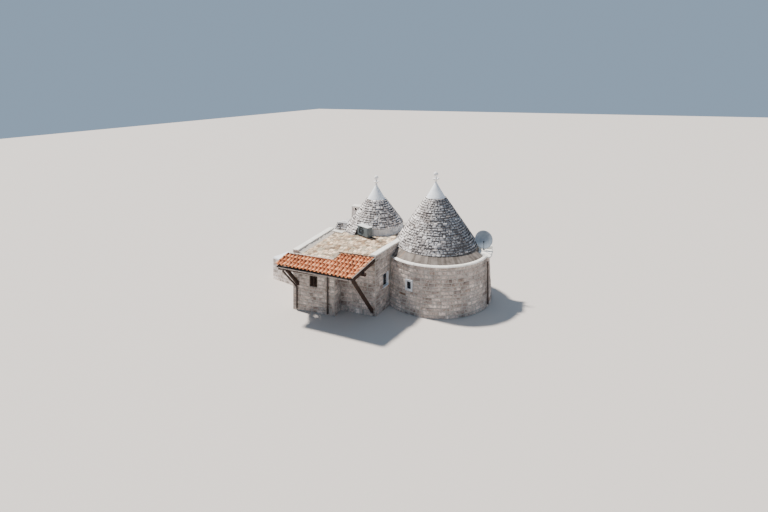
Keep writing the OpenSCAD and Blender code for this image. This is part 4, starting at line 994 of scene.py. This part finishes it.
# The rear cell's door is made of seven upright planks nailed to three ledges, stained like the
# canopy, and stands shut in its doorway. A bent iron pull is its handle.
door = Masonry()
rng = random.Random(141)
door_lo, door_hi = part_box("rear_door")
door_y, planks = door_hi[1], 7
plank = (door_hi[0] - door_lo[0]) / planks
for i in range(planks):
    plate(door, lambda u, w, z: Vector((door_lo[0] + u, door_y - 0.045 + z, w)),
          (i * plank + 0.002, (i + 1) * plank - 0.002), (0.015, 1.895),
          (0, 0.03 + rng.uniform(-0.002, 0.002)), (rng.random(), 0, 0.5), rng,
          soft=0.005, wear=0.001, columns=1)
for z in (0.28, 0.95, 1.62):
    plate(door, lambda u, w, h: Vector((door_lo[0] + u, door_y - 0.045 - h, w)),
          (0.03, planks * plank - 0.03), (z, z + 0.11), (0, 0.014), plain, rng, soft=0.004, wear=0.001)
pull_x = door_lo[0] + 0.10
swept(door, [Vector((pull_x, door_y - 0.01, z)) for z in (0.98, 1.02)], circle(0.012, 8))
pull_turns = [math.pi * k / 8 for k in range(9)]
swept(door, [Vector((pull_x + 0.03 * math.sin(a), door_y - 0.005 + 0.028 * math.sin(a),
                     1.0 + 0.05 * math.cos(a))) for a in pull_turns], circle(0.006, 8))
door.finish("rear_plank_door", timber_up, "dark_timber", replaces=["rear_door"], closed=True)

# The chimney is a plastered shaft under an open head: two arched smoke holes on each long side, black inside
# with soot and painted shade, under one thick stone slab.
pink_plaster = two_tone("pinkish chimney plaster", 0.92, 0.2, (5,), (0.80, 0.70, 0.64), (0.96, 0.90, 0.86),
                        (34, 8), (0.4, 0.005), runs=(0.7, (4, 5, (5, 5, 0.6)),
                                                     (0.32, (0.62, 0.60, 0.58)), (0.52, (1.04, 1.03, 1.02))))
soot_and_painted_shade = two_tone("soot_and_painted_shade", 0.98, 0.1, (20,), (0.008, 0.007, 0.007), (0.03, 0.027, 0.025), (50,), (0.5, 0.004))
dress(pink_plaster, "chimney_shaft")
dress(cream_stone, "back_parapet")
head_lo, head_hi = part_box("chimney_piers")
head_w, head_d, head_h = (head_hi[i] - head_lo[i] for i in range(3))
PIER, ARCH_T = 0.07, 0.07
head = Masonry()
hole = (head_w - 3 * PIER) / 2


def on_head(u, w, z):
    """Places on the head from its lower corner: along, back, and up."""
    return Vector((head_lo[0] + u, head_lo[1] + w, head_lo[2] + z))


def arch_wall(put, spans, length):
    """An upright wall with arched holes: put takes along, through and up; spans are the holes."""
    cuts = [0.0]
    for a, b in spans:
        cuts += [a] + [a + (b - a) * k / 10 for k in range(1, 10)] + [b]
    cuts.append(length)
    for p, q in zip(cuts, cuts[1:]):
        def foot(u):
            for a, b in spans:
                if a - 1e-6 <= p and q <= b + 1e-6:
                    s = 2 * (u - a) / (b - a) - 1
                    return head_h * (0.30 + 0.56 * math.sqrt(max(0, 1 - s * s)))
            return 0.0
        corners = [put(u, w, z) for w in (0, ARCH_T)
                   for u, z in ((p, foot(p)), (q, foot(q)), (q, head_h), (p, head_h))]
        head.add(corners, [(0, 1, 2, 3), (7, 6, 5, 4), (0, 4, 5, 1), (3, 2, 6, 7), (1, 5, 6, 2),
                           (0, 3, 7, 4)], plain)


spans = [(PIER, PIER + hole), (2 * PIER + hole, 2 * PIER + 2 * hole)]
arch_wall(on_head, spans, head_w)
arch_wall(lambda u, w, z: Vector((head_lo[0] + u, head_hi[1] - w, head_lo[2] + z)), spans, head_w)
for x in (head_lo[0], head_hi[0] - ARCH_T):
    arch_wall(lambda u, w, z: Vector((x + w, head_lo[1] + ARCH_T + u, head_lo[2] + z)),
              [(0.05, head_d - 2 * ARCH_T - 0.05)], head_d - 2 * ARCH_T)
head.finish("chimney_arches", pink_plaster, "limewashed_stone", smooth=False, replaces=["chimney_piers"],
            closed=True)
# The throat is a block painted black: soot and painted shade inside the head.
throat = Masonry()
rng = random.Random(151)
plate(throat, on_head, (0.12, head_w - 0.12), (0.12, head_d - 0.12), (0, head_h - 0.002), plain, rng,
      soft=0.01)
throat.finish("chimney_throat", soot_and_painted_shade, "lime_plaster", closed=True)
slab_lo, slab_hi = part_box("chimney_slab")
lid = Masonry()
plate(lid, lambda u, w, z: Vector((u, w, z)), (slab_lo[0], slab_hi[0]), (slab_lo[1], slab_hi[1]),
      (slab_lo[2], slab_hi[2] - 0.002), (0.55, 0.15, 0.4), rng, soft=0.022, wear=0.006, columns=5)
lid.finish("chimney_lid", cream_stone, "limewashed_stone", replaces=["chimney_slab"], closed=True)

# The low block at the left wall has rubble walls under a few coats of limewash, and a floated lime
# screed for a roof, with edges rounded by hand. It stands askew to the house.
ANNEX_TURN, ANNEX_W, ANNEX_D, ANNEX_Y = math.radians(16), 2.855, 1.0, 1.735
screed_lo, screed_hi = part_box("annex_roof")


def on_annex(x, y):
    """A plan place from the low block's own: x along its front from the left wall, y back."""
    return (LEFT_X + x * math.cos(ANNEX_TURN) + y * math.sin(ANNEX_TURN),
            ANNEX_Y - x * math.sin(ANNEX_TURN) + y * math.cos(ANNEX_TURN))


limewashed_rubble = stone_finish("limewashed rubble", (0.98, 0.93, 0.90), (0.60, 0.53, 0.49),
                                 (0.62, 0.50, 0.42))
low_walls = Masonry()
wall_line = -ANNEX_D * math.tan(ANNEX_TURN)
for a, b, seed in (((-ANNEX_W, 0), (0, 0), 181), ((-ANNEX_W, ANNEX_D), (-ANNEX_W, 0), 182),
                   ((wall_line, ANNEX_D), (-ANNEX_W, ANNEX_D), 183)):
    lay_courses(low_walls, straight(*on_annex(*a), *on_annex(*b)), math.dist(a, b), screed_lo[2], seed,
                joint=0.008, proud=0.004)
low_walls.finish("low_block_stones", limewashed_rubble, "lime_plaster")
dress(pink_plaster, "annex_walls")
screed = Masonry()
rng = random.Random(184)
def on_screed(u, w, z):
    """Places on the screed: along from its far end, back, and up; its inner end follows the wall."""
    narrowed = (ANNEX_W - w * math.tan(ANNEX_TURN)) / ANNEX_W
    return plan(*on_annex(-ANNEX_W + u * narrowed, w), z)


plate(screed, on_screed, (-0.012, ANNEX_W), (-0.012, ANNEX_D + 0.012), (screed_lo[2], screed_hi[2]),
      plain, rng, soft=0.035, wear=0.012, columns=14)
screed.finish("low_block_screed", limewash, "limewash", replaces=["annex_roof"], closed=True)

# The outdoor air unit stands on two brown rails on the flat roof. Its sheet casing has a round fan
# opening behind a wire guard, a coil of thin fins at its end, a service panel and a pale lid.
UNIT_W, UNIT_D, UNIT_H, UNIT_TURN = 0.80, 0.30, 0.49, math.radians(-27)
unit_foot = plan(0.31, 3.2, 2.56)
unit_x = Vector((math.cos(UNIT_TURN), math.sin(UNIT_TURN), 0))
unit_y = Vector((-unit_x.y, unit_x.x, 0))


def on_unit(u, w, z):
    """Places on the unit: from its middle along, back, and up from the rails."""
    return unit_foot + unit_x * u + unit_y * w + Vector((0, 0, z))


def on_front(u, w, z):
    """Places on the unit's front: along, up, and out of it."""
    return on_unit(u, -UNIT_D / 2 + 0.03 - z, w)


def on_guard(a, r, out=0.034):
    """Places before the fan: a direction, a distance from its axis, and out of the front."""
    return on_front(fan_u + r * math.cos(a), fan_z + r * math.sin(a), out)


def square_point(a):
    """The point on the front's edge in that direction from the fan's axis."""
    dx, dz = math.cos(a), math.sin(a)
    aside = (FRONT_HALF - fan_u if dx > 0 else FRONT_HALF + fan_u) / max(abs(dx), 1e-6)
    reach = min(aside, (0.232 if dz > 0 else 0.225) / max(abs(dz), 1e-6))
    return (fan_u + dx * reach, fan_z + dz * reach)


# The casing's dark grey-teal is darkened as painted shade on the unit's front and sides.
grey_sheet = two_tone("grey coated sheet", 0.40, 0.5, (3,), (0.085, 0.115, 0.135), (0.14, 0.18, 0.205),
                      (60,), (0.08, 0.002),
                      runs=(0.6, (8, 6, (3, 3, 0.7)), (0.30, (0.70, 0.68, 0.64)), (0.55, (1, 1, 1))))
white_sheet = two_tone("white coated sheet", 0.45, 0.5, (4,), (0.66, 0.67, 0.66), (0.82, 0.83, 0.82),
                       (50,), (0.08, 0.002))
black_core = two_tone("dark fan chamber", 0.7, 0.3, (10,), (0.012, 0.013, 0.014), (0.03, 0.032, 0.034),
                      (30,), (0.2, 0.002))
case, lid_sheet, core = Masonry(), Masonry(), Masonry()
rng = random.Random(161)
FAN_R, fan_u, fan_z, FRONT_HALF, RIM = 0.196, -0.10, 0.245, 0.39, 40
box_h = UNIT_H - 0.025
plate(case, on_unit, (-UNIT_W / 2, UNIT_W / 2), (-UNIT_D / 2 + 0.03, UNIT_D / 2), (0.012, box_h), plain, rng,
      soft=0.012, wear=0.0)
rim_turns = [2 * math.pi * k / RIM for k in range(RIM)]
ring_in = [(fan_u + FAN_R * math.cos(a), fan_z + FAN_R * math.sin(a)) for a in rim_turns]
ring_out = [square_point(a) for a in rim_turns]
eased = [(u * 0.985, w) for u, w in ring_out]
levels = ((ring_out, 0.0), (ring_out, 0.022), (eased, 0.030), (ring_in, 0.030), (ring_in, 0.002))
case.add([on_front(u, w, z) for line, z in levels for u, w in line],
         [face for s in range(5) for face in band(s * RIM, (s + 1) % 5 * RIM, RIM)], plain)
plate(case, on_front, (0.30, 0.385), (0.04, 0.40), (0.028, 0.034), plain, rng,
      soft=0.004, wear=0.0, columns=1)
for k in range(14):
    plate(case, lambda u, w, z: on_unit(-UNIT_W / 2 - z, w, u), (0.05 + k * 0.028, 0.062 + k * 0.028),
          (-0.09, 0.12), (0, 0.006), plain, rng, soft=0.002, wear=0.0, columns=1)
for u in (-0.30, 0.30):
    plate(case, on_unit, (u - 0.035, u + 0.035), (-0.14, 0.14), (-0.001, 0.014), plain, rng,
          soft=0.003, wear=0.0, columns=1)
plate(lid_sheet, on_unit, (-UNIT_W / 2 - 0.008, UNIT_W / 2 + 0.008),
      (-UNIT_D / 2 - 0.008, UNIT_D / 2 + 0.008), (box_h - 0.004, UNIT_H), plain, rng, soft=0.010, wear=0.0)
for r in (0.05, 0.08, 0.11, 0.14, 0.17, 0.195):
    swept(case, [on_guard(2 * math.pi * k / 32, r) for k in range(32)], circle(0.0022, 5), closed_path=True)
for k in range(8):
    a = 2 * math.pi * k / 8
    swept(case, [on_guard(a, 0.03), on_guard(a, 0.199)], circle(0.0028, 5))
swept(case, [on_guard(0, 0, 0.030), on_guard(0, 0, 0.036)], circle(0.036, 16))
case.finish("air_unit_casing", grey_sheet, "grey_sheet", replaces=["air_unit"], closed=True)
lid_sheet.finish("air_unit_lid", white_sheet, "grey_sheet", closed=True)
for k in range(3):
    a0 = 2 * math.pi * k / 3
    blade = [(0.04, a0), (0.17, a0 + 0.25), (0.185, a0 + 0.9), (0.15, a0 + 1.35), (0.04, a0 + 1.2)]
    core.add([on_guard(a, r, out - 0.010 * i / 4) for out in (0.012, 0.008)
              for i, (r, a) in enumerate(blade)], flat_piece(5), plain)
core.add([on_guard(a, FAN_R - 0.001, z) for z in (0.003, 0.001) for a in rim_turns], flat_piece(RIM), plain)
core.finish("air_unit_fan", black_core, "grey_sheet", closed=True)

# The satellite dish is pressed light grey sheet on a steel pole. A square arm from its lower rim
# carries the small receiver in front of the bowl, and a bracket clamps its back to the pole.
dish_sheet = two_tone("dish sheet", 0.45, 0.4, (4,), (0.21, 0.25, 0.295), (0.33, 0.375, 0.43),
                      (40,), (0.08, 0.002))
dress(dish_sheet, "dish", "dish_mount")
POLE_FROM_AXIS = 2.25
turn, tilt = math.radians(9), math.radians(72)
pole_foot = Vector((MAIN[0] + POLE_FROM_AXIS * math.cos(turn), MAIN[1] + POLE_FROM_AXIS * math.sin(turn),
                    LEDGE_Z))
POLE_TOP = 0.49
bowl = pole_foot + Vector((0, 0, POLE_TOP))
dish_out = Vector((math.sin(turn) * math.sin(tilt), -math.cos(turn) * math.sin(tilt), math.cos(tilt)))
dish_up = Vector((-math.sin(turn) * math.cos(tilt), math.cos(turn) * math.cos(tilt), math.sin(tilt)))
dish_side = Vector((math.cos(turn), math.sin(turn), 0))
arm = Masonry()
lower_rim = bowl + dish_out * 0.070 - dish_up * 0.395
receiver = bowl + dish_out * 0.40 - dish_up * 0.11
swept(arm, [bowl - dish_out * 0.03 - dish_up * 0.30, lower_rim - dish_up * 0.035 - dish_out * 0.02,
            receiver - dish_up * 0.05], bar(0.022, 0.022))
swept(arm, [receiver + dish_out * 0.05, receiver + dish_out * 0.04, receiver - dish_out * 0.03,
            receiver - dish_out * 0.04], circle(0.032, 14))
swept(arm, [receiver - dish_out * 0.04, receiver - dish_out * 0.075], circle(0.024, 14))
swept(arm, [receiver - dish_up * 0.06, receiver + dish_up * 0.02], bar(0.03, 0.03))
plate(arm, lambda u, w, z: bowl - dish_out * (0.016 + z) + dish_side * u + dish_up * w,
      (-0.06, 0.06), (-0.10, 0.08), (0, 0.012), plain, random.Random(171), soft=0.004, wear=0.0, columns=1)
swept(arm, [pole_foot + Vector((0, 0, 0.30)), pole_foot + Vector((0, 0, 0.36))], circle(0.031, 14))
swept(arm, [pole_foot + Vector((0, 0, 0.001)), pole_foot + Vector((0, 0, 0.008))], circle(0.065, 16))
arm.finish("dish_arm_and_receiver", black_core, "grey_sheet", closed=True)
